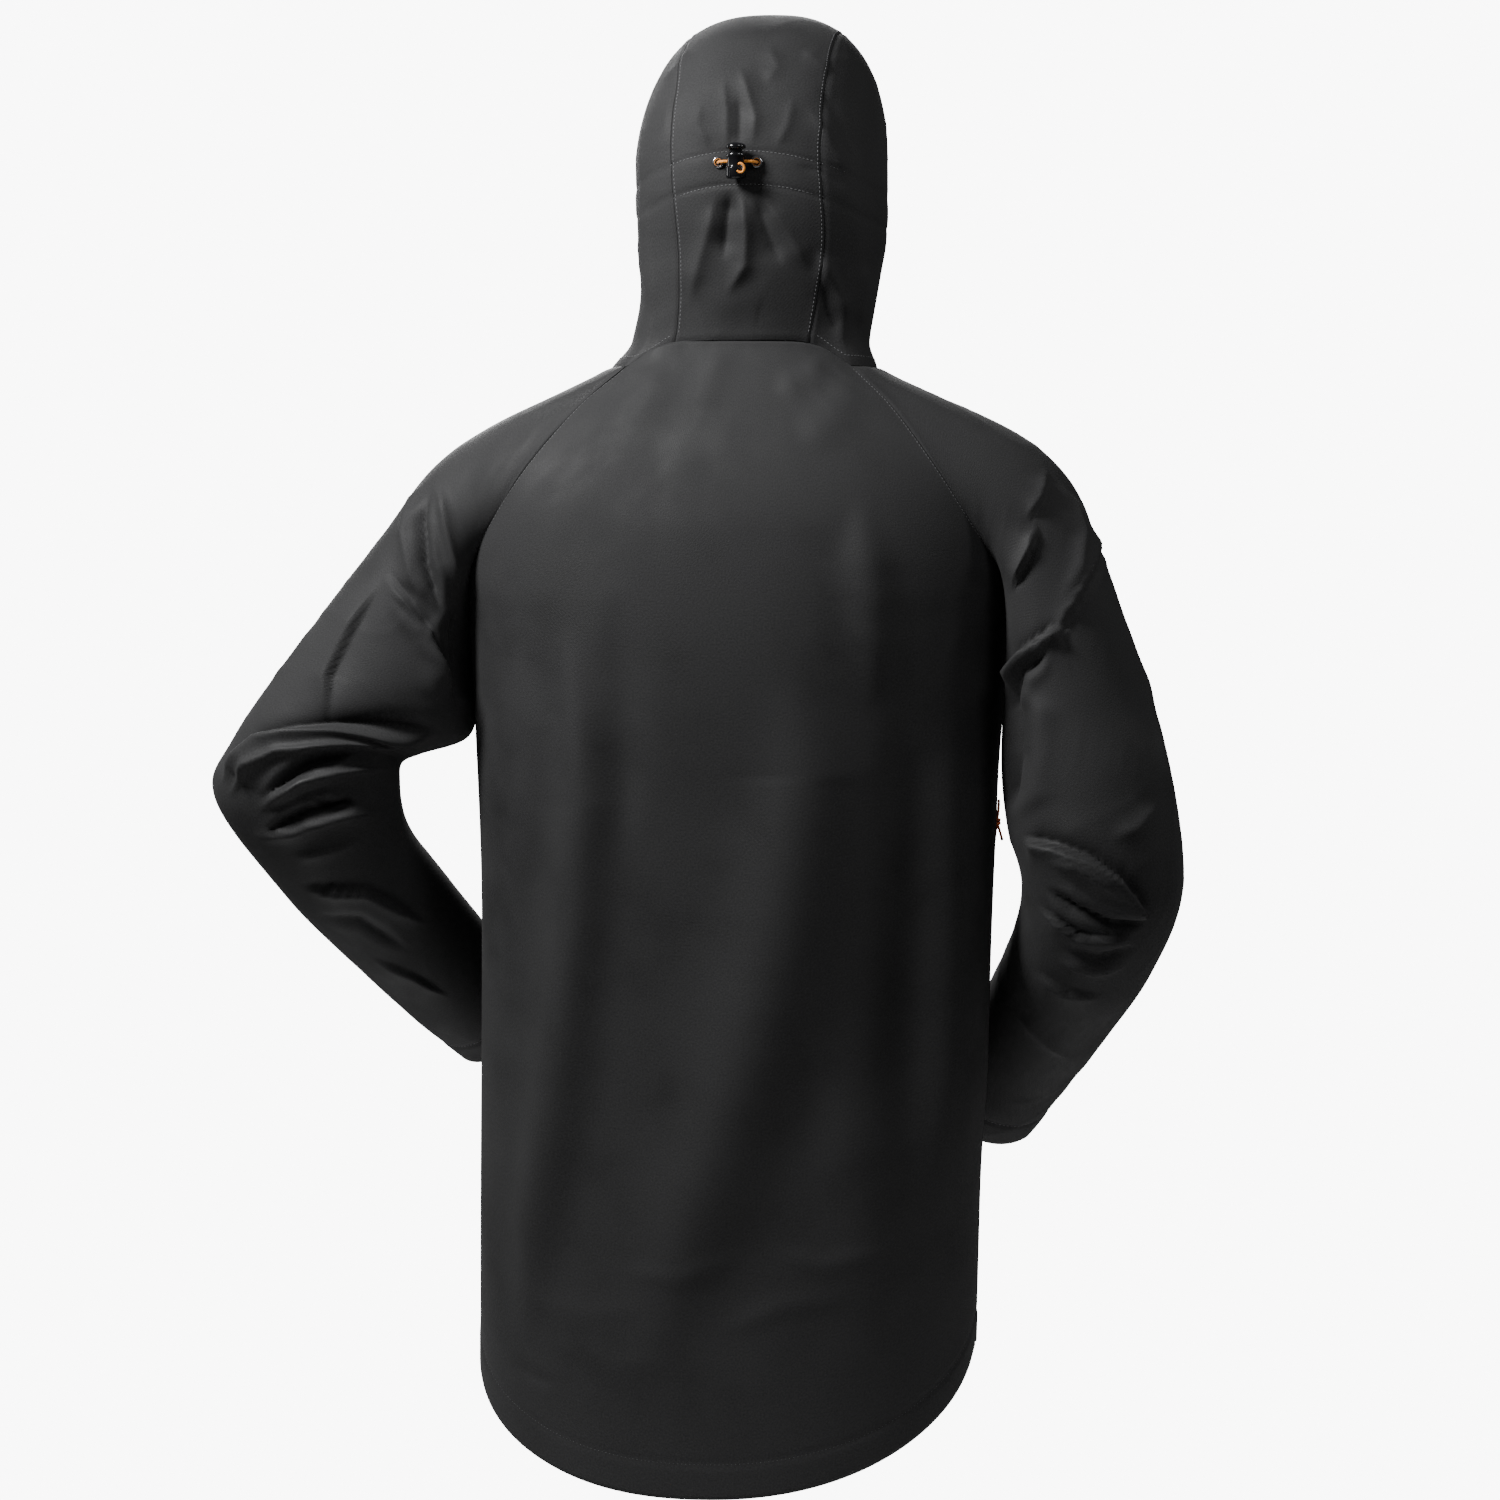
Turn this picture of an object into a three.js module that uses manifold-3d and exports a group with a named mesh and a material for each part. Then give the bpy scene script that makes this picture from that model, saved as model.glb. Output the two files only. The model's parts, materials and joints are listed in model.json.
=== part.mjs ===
// A hooded hardshell jacket standing as if worn: hood up, elbows bent, zips closed.
// Millimetres, +Z up. The wearer faces -Y and the wearer's left is +X.
// The origin is the middle of the back neck seam, where the hang loop is sewn.
import * as THREE from "three";
import Module from "manifold-3d";

const wasm = await Module();
wasm.setup();

// ---------- driving dimensions ----------
const TAIL_LENGTH = 890; // back neck seam to the lowest point of the tail
const TAIL_DROP = 110; // how far the tail hangs below the front hem
const HOOD_HEIGHT = 261; // crown above the back neck seam
const HOOD_HALF_WIDTH = 99;
const CHEST_HALF_WIDTH = 217;
const WAIST_HALF_WIDTH = 199;
const HEM_HALF_WIDTH = 194;
const BACK_DEPTH = 118; // middle of the back behind the side seams
const FRONT_TOP_DEPTH = 100; // zip ahead of the side seams at the chin
const FRONT_HEM_DEPTH = 138; // zip ahead of the side seams at the hem
const ARMPIT_DROP = 193; // underarm point below the neck seam
const NECK_SIDE_DROP = 20; // raglan tops below the back neck seam
const COLLAR_RISE = 20; // top of the zip above the back neck seam
const CUFF_HALF_WIDTH = 41;
const HEM_LEAN = 13; // the body's middle moves this far to +X from neck to front hem

const SHELL = 1.8; // thickness that stands for the laminated fabric
const TRIM = 1.2; // thickness of tapes and facings
const SEAM_GAP = 0.9; // half the room between two panels at a seam
const SLEEVE_LAP = 3; // the sleeve's edge stands this far outside the panels at the raglan seam
const FIT = 0.35; // room between layers that lie on each other
const ELBOW_GAP = 1.3; // half the room between the two halves of a sleeve
const HEM_DEPTH = 26.5;
const CUFF_HEM_DEPTH = 26;
const SQUARENESS = 2.2; // superellipse power of the body's sections
const HOOD_SQUARENESS = 2.6;
const HOOD_PANEL_HALF = 58; // half-width of the hood's middle panel
const BRIM_SHARE = 0.11; // length of the brim as a share of the hood's middle panel
const BRIM_GAP_SHARE = 0.0017; // room between the brim and the middle panel, as the same share
const BRIM_EXTRA = 0.8; // how much thicker the laminated brim is
const TUNNEL_DROP = 28; // how far the cord tunnel falls from its middle to the hood's sides
const TUNNEL_REACH = 0.85; // share of the hood's half-width that the tunnel's tape covers

const TAPE_WIDTH = 12;
const TEETH_WIDTH = 4;
const TEETH_THICK = 1.6;
const FRONT_ZIP_SINK = 0.6; // the front zip's tapes lie this much further in
const SLIDER_WIDTH = 10;
const SLIDER_LENGTH = 15;
const SLIDER_THICK = 4;
const PULL_DIAMETER = 2.4;
const PULL_DROP = 17; // slider to knot
const PULL_TAIL = 12;
const KNOT_RADIUS = 3.6;

const HEM_FACING_REACH = 174; // degrees each way round from the middle of the back
const HEM_FACING_SLACK = 2.2; // room for the facing's coarser bend
const NECK_TAPE_REACH = 48;
const NECK_TAPE_DEPTH = 12;
const LOOP_OUTER = 9;
const LOOP_INNER = 6.5;

const LOCK_RADIUS = 7.8;
const LOCK_WALL = 2.2;
const LOCK_HEIGHT = 20;
const LOCK_TRAVEL = 3;
const BUTTON_HEIGHT = 6.5;
const BUTTON_RIM = 2; // height of the button's straight side
const BUTTON_CROWN = 4; // height of the button's side with its rounding
const LOCK_FOOT_ROUNDING = 1.6;
const SPRING_WIRE = 1;
const SPRING_RADIUS = 3.6;
const SPRING_TURNS = 2.5;
const LOCK_CENTRE_X = -3;
const TUNNEL_Z = 133; // cord tunnel above the back neck seam
const TUNNEL_WIDTH = 26;
const EYELET_SPREAD = 15; // eyelets each side of the cord lock
const EYELET_Z = 137;
const EYELET_OUTER = 4.4;
const EYELET_BORE = 2.5;
const CORD_DIAMETER = 2.4;

const FRONT_HEM_Z = TAIL_DROP - TAIL_LENGTH;
const SIDES = { left: 1, right: -1 };
const V = (x, y, z) => new THREE.Vector3(x, y, z);
const jacket = new THREE.Group();

// ---------- small mathematics ----------
// A smooth function through (place, value) pairs that are in rising order of place.
function through(pairs) {
  const slope = pairs.map((p, i) => {
    const a = pairs[Math.max(0, i - 1)];
    const b = pairs[Math.min(pairs.length - 1, i + 1)];
    return (b[1] - a[1]) / (b[0] - a[0]);
  });
  return (at) => {
    let i = pairs.length - 2;
    while (i > 0 && at < pairs[i][0]) i -= 1;
    const span = pairs[i + 1][0] - pairs[i][0];
    const t = Math.min(1.2, Math.max(-0.2, (at - pairs[i][0]) / span));
    const t2 = t * t;
    const t3 = t2 * t;
    return (
      (2 * t3 - 3 * t2 + 1) * pairs[i][1] +
      (t3 - 2 * t2 + t) * span * slope[i] +
      (3 * t2 - 2 * t3) * pairs[i + 1][1] +
      (t3 - t2) * span * slope[i + 1]
    );
  };
}
const mix = (a, b, t) => a + (b - a) * t;
const signedPower = (v, p) => Math.sign(v) * Math.abs(v) ** p;
const radians = THREE.MathUtils.degToRad;

// ---------- the body's surface ----------
const halfWidth = through([
  [FRONT_HEM_Z - TAIL_DROP, HEM_HALF_WIDTH - 2],
  [FRONT_HEM_Z, HEM_HALF_WIDTH],
  [-600, (HEM_HALF_WIDTH + WAIST_HALF_WIDTH) / 2],
  [-430, WAIST_HALF_WIDTH],
  [-312, WAIST_HALF_WIDTH + 6],
  [-ARMPIT_DROP - 25, CHEST_HALF_WIDTH - 5],
  [-ARMPIT_DROP, CHEST_HALF_WIDTH],
  [-146, CHEST_HALF_WIDTH - 1],
  [-98, 202],
  [-50, 151],
  [-NECK_SIDE_DROP, 104],
  [0, 92],
  [COLLAR_RISE, 88],
]);
const backDepth = through([
  [-TAIL_LENGTH, BACK_DEPTH + 14],
  [-600, BACK_DEPTH + 2],
  [-400, BACK_DEPTH],
  [-250, BACK_DEPTH + 5],
  [-150, BACK_DEPTH - 4],
  [-98, BACK_DEPTH - 19],
  [-50, 75],
  [-NECK_SIDE_DROP, 55],
  [0, 45],
  [COLLAR_RISE, 45],
]);
const frontDepth = (z) =>
  mix(FRONT_TOP_DEPTH, FRONT_HEM_DEPTH, (COLLAR_RISE - z) / (COLLAR_RISE - FRONT_HEM_Z));
const middleX = (z) => HEM_LEAN * (z / FRONT_HEM_Z);

// A point of the body at height z and angle phi, where 0 is the middle of the back and 90 the +X side.
function bodyPoint(phi, z) {
  const depth = Math.cos(phi) > 0 ? backDepth(z) : frontDepth(z);
  return V(
    middleX(z) + halfWidth(z) * signedPower(Math.sin(phi), 2 / SQUARENESS),
    depth * signedPower(Math.cos(phi), 2 / SQUARENESS),
    z,
  );
}
// The level outward direction of the body's section through a point.
function bodyNormal(p) {
  const a = halfWidth(p.z);
  const b = p.y > 0 ? backDepth(p.z) : frontDepth(p.z);
  const x = signedPower((p.x - middleX(p.z)) / a, SQUARENESS - 1) / a;
  const y = signedPower(p.y / b, SQUARENESS - 1) / b;
  return V(x, y, 0).normalize();
}
const hemZ = (phi) => FRONT_HEM_Z - TAIL_DROP * Math.max(0, Math.cos(phi));

// Raglan seams: distance from the middle at each height, on the back and on the front.
const backRaglan = through([
  [-ARMPIT_DROP, CHEST_HALF_WIDTH],
  [-182, 212],
  [-146, 190],
  [-98, 159],
  [-50, 121],
  [-NECK_SIDE_DROP, 88],
]);
const frontRaglan = through([
  [-ARMPIT_DROP, CHEST_HALF_WIDTH],
  [-182, 204],
  [-146, 167],
  [-98, 130],
  [-50, 101],
  [-NECK_SIDE_DROP, 82],
]);
function seamAngle(raglan, z) {
  if (z <= -ARMPIT_DROP + 0.01) return Math.PI / 2;
  const share = Math.min(1, raglan(z) / halfWidth(z));
  return Math.asin(share ** (SQUARENESS / 2));
}
const RAGLAN_ROWS = [-NECK_SIDE_DROP, -45, -75, -105, -135, -162, -182, -ARMPIT_DROP];
const BODY_ROWS = [...RAGLAN_ROWS, -235, -300, -390, -490, -590, -690, FRONT_HEM_Z + HEM_DEPTH, FRONT_HEM_Z];
const rowShare = (z) => (-NECK_SIDE_DROP - z) / (-NECK_SIDE_DROP - FRONT_HEM_Z);
const BODY_SHARES = BODY_ROWS.map(rowShare);

// ---------- turning flat geometry into fabric ----------
// Moves every vertex of a unit geometry: place(vertex) gives [s, t, layer], layer -1 or 1.
function drape(geometry, place, surface, thickness, offset = 0) {
  const step = 1e-3;
  const at = geometry.attributes.position;
  for (let i = 0; i < at.count; i += 1) {
    const [s, t, layer] = place(V().fromBufferAttribute(at, i));
    const ds = surface(s + step, t).sub(surface(s - step, t));
    const dt = surface(s, t + step).sub(surface(s, t - step));
    const normal = ds.cross(dt).normalize();
    const p = surface(s, t).addScaledVector(normal, offset + (layer * thickness) / 2);
    at.setXYZ(i, p.x, p.y, p.z);
  }
  geometry.deleteAttribute("normal");
  geometry.deleteAttribute("uv");
  return geometry;
}
const evenly = (n) => Array.from({ length: n + 1 }, (_, i) => i / n);
const lookUp = (list, share) => list[Math.round(share * (list.length - 1))];

// A sheet over surface(s, t) with columns at the given s and rows at the given t.
function sheet(columns, rows, surface, thickness, offset = 0) {
  const box = new THREE.BoxGeometry(1, 1, 1, columns.length - 1, rows.length - 1, 1);
  const place = (p) => [lookUp(columns, p.x + 0.5), lookUp(rows, p.y + 0.5), p.z > 0 ? 1 : -1];
  return drape(box, place, surface, thickness, offset);
}
// A tube over surface(s, t): s goes round once from 0 to 1, t along.
function sleeveTube(around, rows, surface, thickness, offset = 0) {
  const profile = [
    ...rows.map((_, i) => new THREE.Vector2(2, i)),
    ...rows.map((_, i) => new THREE.Vector2(1, rows.length - 1 - i)),
    new THREE.Vector2(2, 0),
  ];
  const lathe = new THREE.LatheGeometry(profile, around);
  const place = (p) => {
    const turn = Math.round((Math.atan2(p.x, p.z) / (2 * Math.PI)) * around);
    return [((turn + around) % around) / around, rows[Math.round(p.y)], Math.hypot(p.x, p.z) > 1.5 ? 1 : -1];
  };
  return drape(lathe, place, surface, thickness, offset);
}
// A tube of the given diameter along hand-set points.
function cordTube(points, diameter, steps, sides = 8) {
  const section = new THREE.Shape(
    Array.from({ length: sides }, (_, i) => {
      const turn = (2 * Math.PI * i) / sides;
      return new THREE.Vector2((diameter / 2) * Math.cos(turn), (diameter / 2) * Math.sin(turn));
    }),
  );
  const path = new THREE.CatmullRomCurve3(points);
  return new THREE.ExtrudeGeometry(section, { steps, bevelEnabled: false, extrudePath: path });
}
const lathe = (profile, sides) =>
  new THREE.LatheGeometry(profile.map(([r, y]) => new THREE.Vector2(r, y)), sides);

// ---------- booleans ----------
function toSolid(geometry, matrix = new THREE.Matrix4()) {
  const soup = (geometry.index ? geometry.toNonIndexed() : geometry.clone()).applyMatrix4(matrix);
  const from = soup.attributes.position;
  const known = new Map();
  const places = [];
  const faces = [];
  for (let i = 0; i < from.count; i += 1) {
    const p = [from.getX(i), from.getY(i), from.getZ(i)];
    const key = p.map((v) => Math.round(v * 1e3)).join();
    if (!known.has(key)) {
      known.set(key, known.size);
      places.push(...p);
    }
    faces.push(known.get(key));
  }
  const kept = [];
  for (let i = 0; i < faces.length; i += 3) {
    const [a, b, c] = faces.slice(i, i + 3);
    if (a !== b && b !== c && a !== c) kept.push(a, b, c);
  }
  return new wasm.Manifold(
    new wasm.Mesh({
      numProp: 3,
      vertProperties: new Float32Array(places),
      triVerts: new Uint32Array(kept),
    }),
  );
}
function toGeometry(solid) {
  const mesh = solid.getMesh();
  const geometry = new THREE.BufferGeometry();
  geometry.setAttribute("position", new THREE.BufferAttribute(new Float32Array(mesh.vertProperties), 3));
  geometry.setIndex(new THREE.BufferAttribute(new Uint32Array(mesh.triVerts), 1));
  return geometry;
}

// ---------- finishes ----------
const FINISHES = {
  fabric: { color: 0x1d1d1f, roughness: 0.62, metalness: 0 },
  lining: { color: 0x141416, roughness: 0.8, metalness: 0 },
  tape: { color: 0x0f0f10, roughness: 0.7, metalness: 0 },
  moulded: { color: 0x08080a, roughness: 0.22, metalness: 0 },
  metal: { color: 0x8c8c90, roughness: 0.3, metalness: 1 },
  orange: { color: 0xd9791c, roughness: 0.75, metalness: 0 },
  rust: { color: 0xb4502c, roughness: 0.75, metalness: 0 },
};
function add(name, geometry, finish) {
  const mesh = new THREE.Mesh(geometry, new THREE.MeshStandardMaterial(FINISHES[finish]));
  mesh.name = name;
  jacket.add(mesh);
  return mesh;
}

// ---------- body panels ----------
const neckBackZ = (s) => -NECK_SIDE_DROP * Math.abs(s) ** 5;
// The front neck seam climbs from the raglan top (s = 0) to the chin (s = 1).
const neckFrontZ = (s) => mix(-NECK_SIDE_DROP, COLLAR_RISE, s * s);

function backSurface(s, t) {
  const bottom = hemZ((s * Math.PI) / 2);
  const z = mix(neckBackZ(s), bottom, t);
  const edge = mix(-NECK_SIDE_DROP, FRONT_HEM_Z, t);
  const angle = seamAngle(backRaglan, edge);
  const shrink = 1 - SEAM_GAP / halfWidth(z);
  return bodyPoint(s * angle * shrink, z);
}
function frontSurface(side, s, t) {
  const edge = mix(-NECK_SIDE_DROP, FRONT_HEM_Z, t);
  const from = Math.PI - seamAngle(frontRaglan, edge);
  const z = mix(neckFrontZ(s), FRONT_HEM_Z, t);
  const margin = SEAM_GAP / halfWidth(z);
  const zipShare = (TEETH_WIDTH / 2 + FIT) / halfWidth(z);
  const closed = Math.PI - zipShare ** (SQUARENESS / 2);
  return bodyPoint(side * mix(from + margin, closed, s), z);
}
function addBodyPanels() {
  const across = evenly(14).map((s) => 2 * s - 1);
  add("back_panel", sheet(across, BODY_SHARES, backSurface, SHELL), "fabric");
  for (const [name, side] of Object.entries(SIDES)) {
    const surface = (s, t) => frontSurface(side, s, t);
    const columns = [0, 0.12, 0.26, 0.42, 0.6, 0.78, 0.92, 1];
    add(`${name}_front_panel`, sheet(columns, BODY_SHARES, surface, SHELL), "fabric");
  }
}

// ---------- sleeves ----------
// Each ring: the inner and outer point of its ellipse seen from the front, its Y and its half-depth.
const ARM_RINGS = {
  left: [
    { inner: [227, -206], outer: [228, -82], y: 5, depth: 62 },
    { inner: [223, -262], outer: [289, -156], y: 12, depth: 62 },
    { inner: [222, -304], outer: [346, -234], y: 24, depth: 62 },
    { inner: [261, -320], outer: [398, -312], y: 36, depth: 61 },
    { inner: [267, -345], outer: [411, -354], y: 45, depth: 60 },
    { inner: [262, -385], outer: [364, -424], y: 22, depth: 56 },
    { inner: [238, -428], outer: [325, -478], y: -30, depth: 50 },
    { inner: [213, -470], outer: [283, -530], y: -80, depth: 45 },
    { inner: [188, -511], outer: [250, -564], y: -122, depth: CUFF_HALF_WIDTH },
  ],
  right: [
    { inner: [225, -206], outer: [226, -82], y: 5, depth: 62 },
    { inner: [220, -262], outer: [287, -160], y: 12, depth: 62 },
    { inner: [217, -325], outer: [325, -273], y: 25, depth: 62 },
    { inner: [217, -372], outer: [346, -351], y: 35, depth: 61 },
    { inner: [223, -412], outer: [353, -427], y: 40, depth: 60 },
    { inner: [218, -445], outer: [320, -490], y: 8, depth: 56 },
    { inner: [196, -490], outer: [283, -540], y: -48, depth: 50 },
    { inner: [168, -535], outer: [247, -583], y: -102, depth: 45 },
    { inner: [142, -580], outer: [213, -624], y: -152, depth: CUFF_HALF_WIDTH },
  ],
};
const ELBOW_RING = 4;
const AROUND = 2 * RAGLAN_ROWS.length;

function armRing(name, index) {
  const side = SIDES[name];
  const ring = ARM_RINGS[name][index];
  const inner = V(side * ring.inner[0], ring.y, ring.inner[1]);
  const outer = V(side * ring.outer[0], ring.y, ring.outer[1]);
  return { centre: inner.clone().add(outer).multiplyScalar(0.5), inner, outer, depth: ring.depth };
}
function armAxis(name, index) {
  const last = ARM_RINGS[name].length - 1;
  const a = armRing(name, Math.max(0, index - 1)).centre;
  const b = armRing(name, Math.min(last, index + 1)).centre;
  return b.sub(a).normalize();
}
// The ellipse of a ring at share v of a turn: 0 inner, a quarter at the back, a half outer.
function ringPoint(name, index, v) {
  const { centre, outer, depth } = armRing(name, index);
  const out = outer.clone().sub(centre);
  const back = armAxis(name, index).cross(out).normalize();
  if (back.y < 0) back.negate();
  const turn = 2 * Math.PI * v;
  return centre.addScaledVector(out, -Math.cos(turn)).addScaledVector(back, depth * Math.sin(turn));
}
// The sleeve's first loop runs up the back raglan seam, across the neck and down the front one.
function raglanLoopPoint(name, v) {
  const side = SIDES[name];
  const half = RAGLAN_ROWS.length - 1;
  const step = v * AROUND;
  const rowZ = (n) => mix(RAGLAN_ROWS[Math.floor(n)], RAGLAN_ROWS[Math.ceil(n)], n - Math.floor(n));
  if (step <= half) {
    const z = rowZ(half - step);
    return bodyPoint(side * seamAngle(backRaglan, z), z);
  }
  if (step >= AROUND - half) {
    const z = rowZ(step - (AROUND - half));
    return bodyPoint(side * (Math.PI - seamAngle(frontRaglan, z)), z);
  }
  const top = seamAngle(backRaglan, -NECK_SIDE_DROP);
  const front = Math.PI - seamAngle(frontRaglan, -NECK_SIDE_DROP);
  const across = mix(top, front, (step - half) / (AROUND - 2 * half));
  return bodyPoint(side * across, -NECK_SIDE_DROP);
}
// t = 0 is the raglan seam, t = n the n-th ring of the arm.
function sleeveSurface(name, v, t) {
  const turn = ((v % 1) + 1) % 1;
  const start = raglanLoopPoint(name, turn);
  const rings = ARM_RINGS[name].map((_, i) => ringPoint(name, i, turn));
  start.addScaledVector(rings[0].clone().sub(start).normalize(), SEAM_GAP);
  start.addScaledVector(bodyNormal(start), SLEEVE_LAP);
  const curve = new THREE.CatmullRomCurve3([start, ...rings], false, "catmullrom", 0.5);
  return curve.getPoint(THREE.MathUtils.clamp(t / rings.length, 0, 1));
}
const elbowT = ELBOW_RING + 1;
const sleeveLength = (name) => ARM_RINGS[name].length;
function stepShare(name, t, distance) {
  const a = sleeveSurface(name, 0.5, t - 0.05);
  const b = sleeveSurface(name, 0.5, t + 0.05);
  return (0.1 * distance) / a.distanceTo(b);
}
function addSleeves() {
  for (const name of Object.keys(SIDES)) {
    const flip = SIDES[name];
    const surface = (v, t) => sleeveSurface(name, flip * v, t);
    const gap = stepShare(name, elbowT, ELBOW_GAP);
    const end = sleeveLength(name);
    const upper = [0, 0.5, 1, 1.5, 2, 3, 3.6, 4.3, elbowT - gap];
    const lower = [elbowT + gap, 5.6, 6.2, 7, 8, end];
    add(`${name}_upper_sleeve`, sleeveTube(AROUND, upper, surface, SHELL), "fabric");
    add(`${name}_lower_sleeve`, sleeveTube(AROUND, lower, surface, SHELL), "fabric");
    const hem = stepShare(name, end - 0.05, CUFF_HEM_DEPTH);
    const inward = -(SHELL / 2 + 2 * FIT + TRIM / 2);
    const facing = sleeveTube(AROUND, [end - hem, end - 0.02], surface, TRIM, inward);
    add(`${name}_cuff_facing`, facing, "lining");
    addCuffTab(name, surface, end, hem);
  }
}
const TAB_START = 0.6; // share of a turn at which the tab is sewn down
const TAB_SWEEP = 0.2;
function addCuffTab(name, surface, end, hem) {
  const flip = SIDES[name];
  const wide = [end - 0.92 * hem, end - 0.5 * hem, end - 0.12 * hem];
  const bent = (s, t) => surface(s, t);
  const patchOffset = SHELL / 2 + FIT + TRIM / 2;
  const tabOffset = patchOffset + TRIM / 2 + 3 * FIT + SHELL / 2;
  const from = flip * TAB_START;
  const sweep = flip * TAB_SWEEP;
  const along = [0, 0.25, 0.5, 0.75, 1].map((s) => from + s * sweep).sort((a, b) => a - b);
  const patch = along.map((s) => mix(from + sweep / 2, s, 0.8));
  add(`${name}_cuff_patch`, sheet(patch, wide, bent, TRIM, patchOffset), "lining");
  add(`${name}_cuff_tab`, sheet(along, wide, bent, SHELL, tabOffset), "fabric");
}

// ---------- hood ----------
const HOOD_MIDDLE = V(-6, -62, 110);
// The hood's outline in its middle plane: distance from HOOD_MIDDLE by angle up from straight back.
const hoodRadius = through([
  [-90, 215],
  [-63, 222],
  [-45.8, 153.5],
  [-23.7, 124.5],
  [0, 120],
  [28, 127],
  [54.5, 141],
  [77.6, HOOD_HEIGHT - HOOD_MIDDLE.z - 1.5],
  [90, HOOD_HEIGHT - HOOD_MIDDLE.z],
  [112, 155],
  [129, 164],
  [142.7, 173],
  [180, 175],
  [220, 175],
  [270, 215],
]);
const hoodScale = (x) => (1 - Math.abs(x / HOOD_HALF_WIDTH) ** HOOD_SQUARENESS) ** (1 / HOOD_SQUARENESS);
// The head leans a little to -X, so the middle moves with height.
const hoodLean = (z) => mix(0, HOOD_MIDDLE.x * 1.8, Math.min(1.1, Math.max(0, z / 240)));

function crownPoint(x, degrees) {
  const k = hoodScale(x) * hoodRadius(degrees);
  const y = HOOD_MIDDLE.y + k * Math.cos(radians(degrees));
  const z = HOOD_MIDDLE.z + k * Math.sin(radians(degrees));
  return V(x + hoodLean(z), y, z);
}
// The hood's side at a place seen from the side.
function hoodSidePoint(side, y, z) {
  const dy = y - HOOD_MIDDLE.y;
  const dz = z - HOOD_MIDDLE.z;
  let degrees = THREE.MathUtils.radToDeg(Math.atan2(dz, dy));
  if (degrees < -90) degrees += 360;
  const g = Math.min(1, Math.hypot(dy, dz) / hoodRadius(degrees));
  const x = HOOD_HALF_WIDTH * (1 - g ** HOOD_SQUARENESS) ** (1 / HOOD_SQUARENESS);
  return V(side * x + hoodLean(z), y, z);
}
const NAPE_DEGREES = -45.8;
const BRIM_DEGREES = 140;
const napeBlend = (t) => (1 - t) ** 6;
const rowDegrees = (t) => mix(NAPE_DEGREES, BRIM_DEGREES, t);
const NECK_LIFT = 2.25 * SEAM_GAP;

function neckLoopPoint(phi, z) {
  return bodyPoint(phi, z).add(V(0, 0, NECK_LIFT));
}
// Where the middle panel's edge meets the neck seam, as an angle round the body.
const napeAngle = Math.asin((HOOD_PANEL_HALF / halfWidth(0)) ** (SQUARENESS / 2));
const backNeckS = (phi) => phi / seamAngle(backRaglan, -NECK_SIDE_DROP);

function crownSurface(s, t) {
  const x = s * (HOOD_PANEL_HALF - SEAM_GAP);
  const phi = Math.sign(s) * Math.asin((Math.abs(x) / halfWidth(0)) ** (SQUARENESS / 2));
  const seam = neckLoopPoint(phi, neckBackZ(backNeckS(phi)));
  const base = crownPoint(x, rowDegrees(0));
  return crownPoint(x, rowDegrees(t)).addScaledVector(seam.sub(base), napeBlend(t));
}
// The face opening from the chin up to the brim, for the +X side.
const faceEdge = new THREE.CatmullRomCurve3([
  V(5, -102, COLLAR_RISE + NECK_LIFT),
  V(38, -112, 36),
  V(66, -126, 70),
  V(80, -138, 106),
  V(84, -152, 150),
  V(78, -168, 182),
  V(64, -180, 200),
]);
function neckSeamForHood(side, s) {
  const backEnd = seamAngle(backRaglan, -NECK_SIDE_DROP);
  const frontStart = Math.PI - seamAngle(frontRaglan, -NECK_SIDE_DROP);
  const zipShare = (TEETH_WIDTH / 2 + FIT) / halfWidth(COLLAR_RISE);
  const last = Math.PI - zipShare ** (SQUARENESS / 2);
  const phi = mix(napeAngle + SEAM_GAP / halfWidth(0), last, s);
  let z = -NECK_SIDE_DROP;
  if (phi < backEnd) z = neckBackZ(backNeckS(phi));
  if (phi > frontStart) z = neckFrontZ((phi - frontStart) / (last - frontStart));
  return neckLoopPoint(side * phi, z);
}
function hoodSideSurface(side, s, t) {
  const crownEdge = crownPoint(HOOD_PANEL_HALF + SEAM_GAP, rowDegrees(t));
  const face = faceEdge.getPoint(Math.min(1, Math.max(0, t)));
  face.x = side * face.x + hoodLean(face.z);
  const faceBase = faceEdge.getPoint(0);
  const at = (share, row, edge) => hoodSidePoint(side, mix(row.y, edge.y, share), mix(row.z, edge.z, share));
  const p = at(s, crownEdge, face);
  p.addScaledVector(face.clone().sub(at(1, crownEdge, face)), s ** 3);
  const baseEdge = crownPoint(HOOD_PANEL_HALF + SEAM_GAP, rowDegrees(0));
  const base = at(s, baseEdge, faceBase);
  const faceStart = V(side * faceBase.x + hoodLean(faceBase.z), faceBase.y, faceBase.z);
  base.addScaledVector(faceStart.sub(at(1, baseEdge, faceBase)), s ** 3);
  return p.addScaledVector(neckSeamForHood(side, s).sub(base), napeBlend(t));
}
// The angle at which the crown's curve at x reaches height z on the back of the hood.
function backDegrees(x, z) {
  let low = NAPE_DEGREES;
  let high = 80;
  for (let i = 0; i < 30; i += 1) {
    const middle = (low + high) / 2;
    if (crownPoint(x, middle).z < z) low = middle;
    else high = middle;
  }
  return (low + high) / 2;
}
const hoodBackPoint = (x, z) => crownPoint(x, backDegrees(x, z));
const tunnelZ = (x, t) => TUNNEL_Z - TUNNEL_DROP * (x / HOOD_HALF_WIDTH) ** 2 + (t - 0.5) * TUNNEL_WIDTH;

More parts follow.
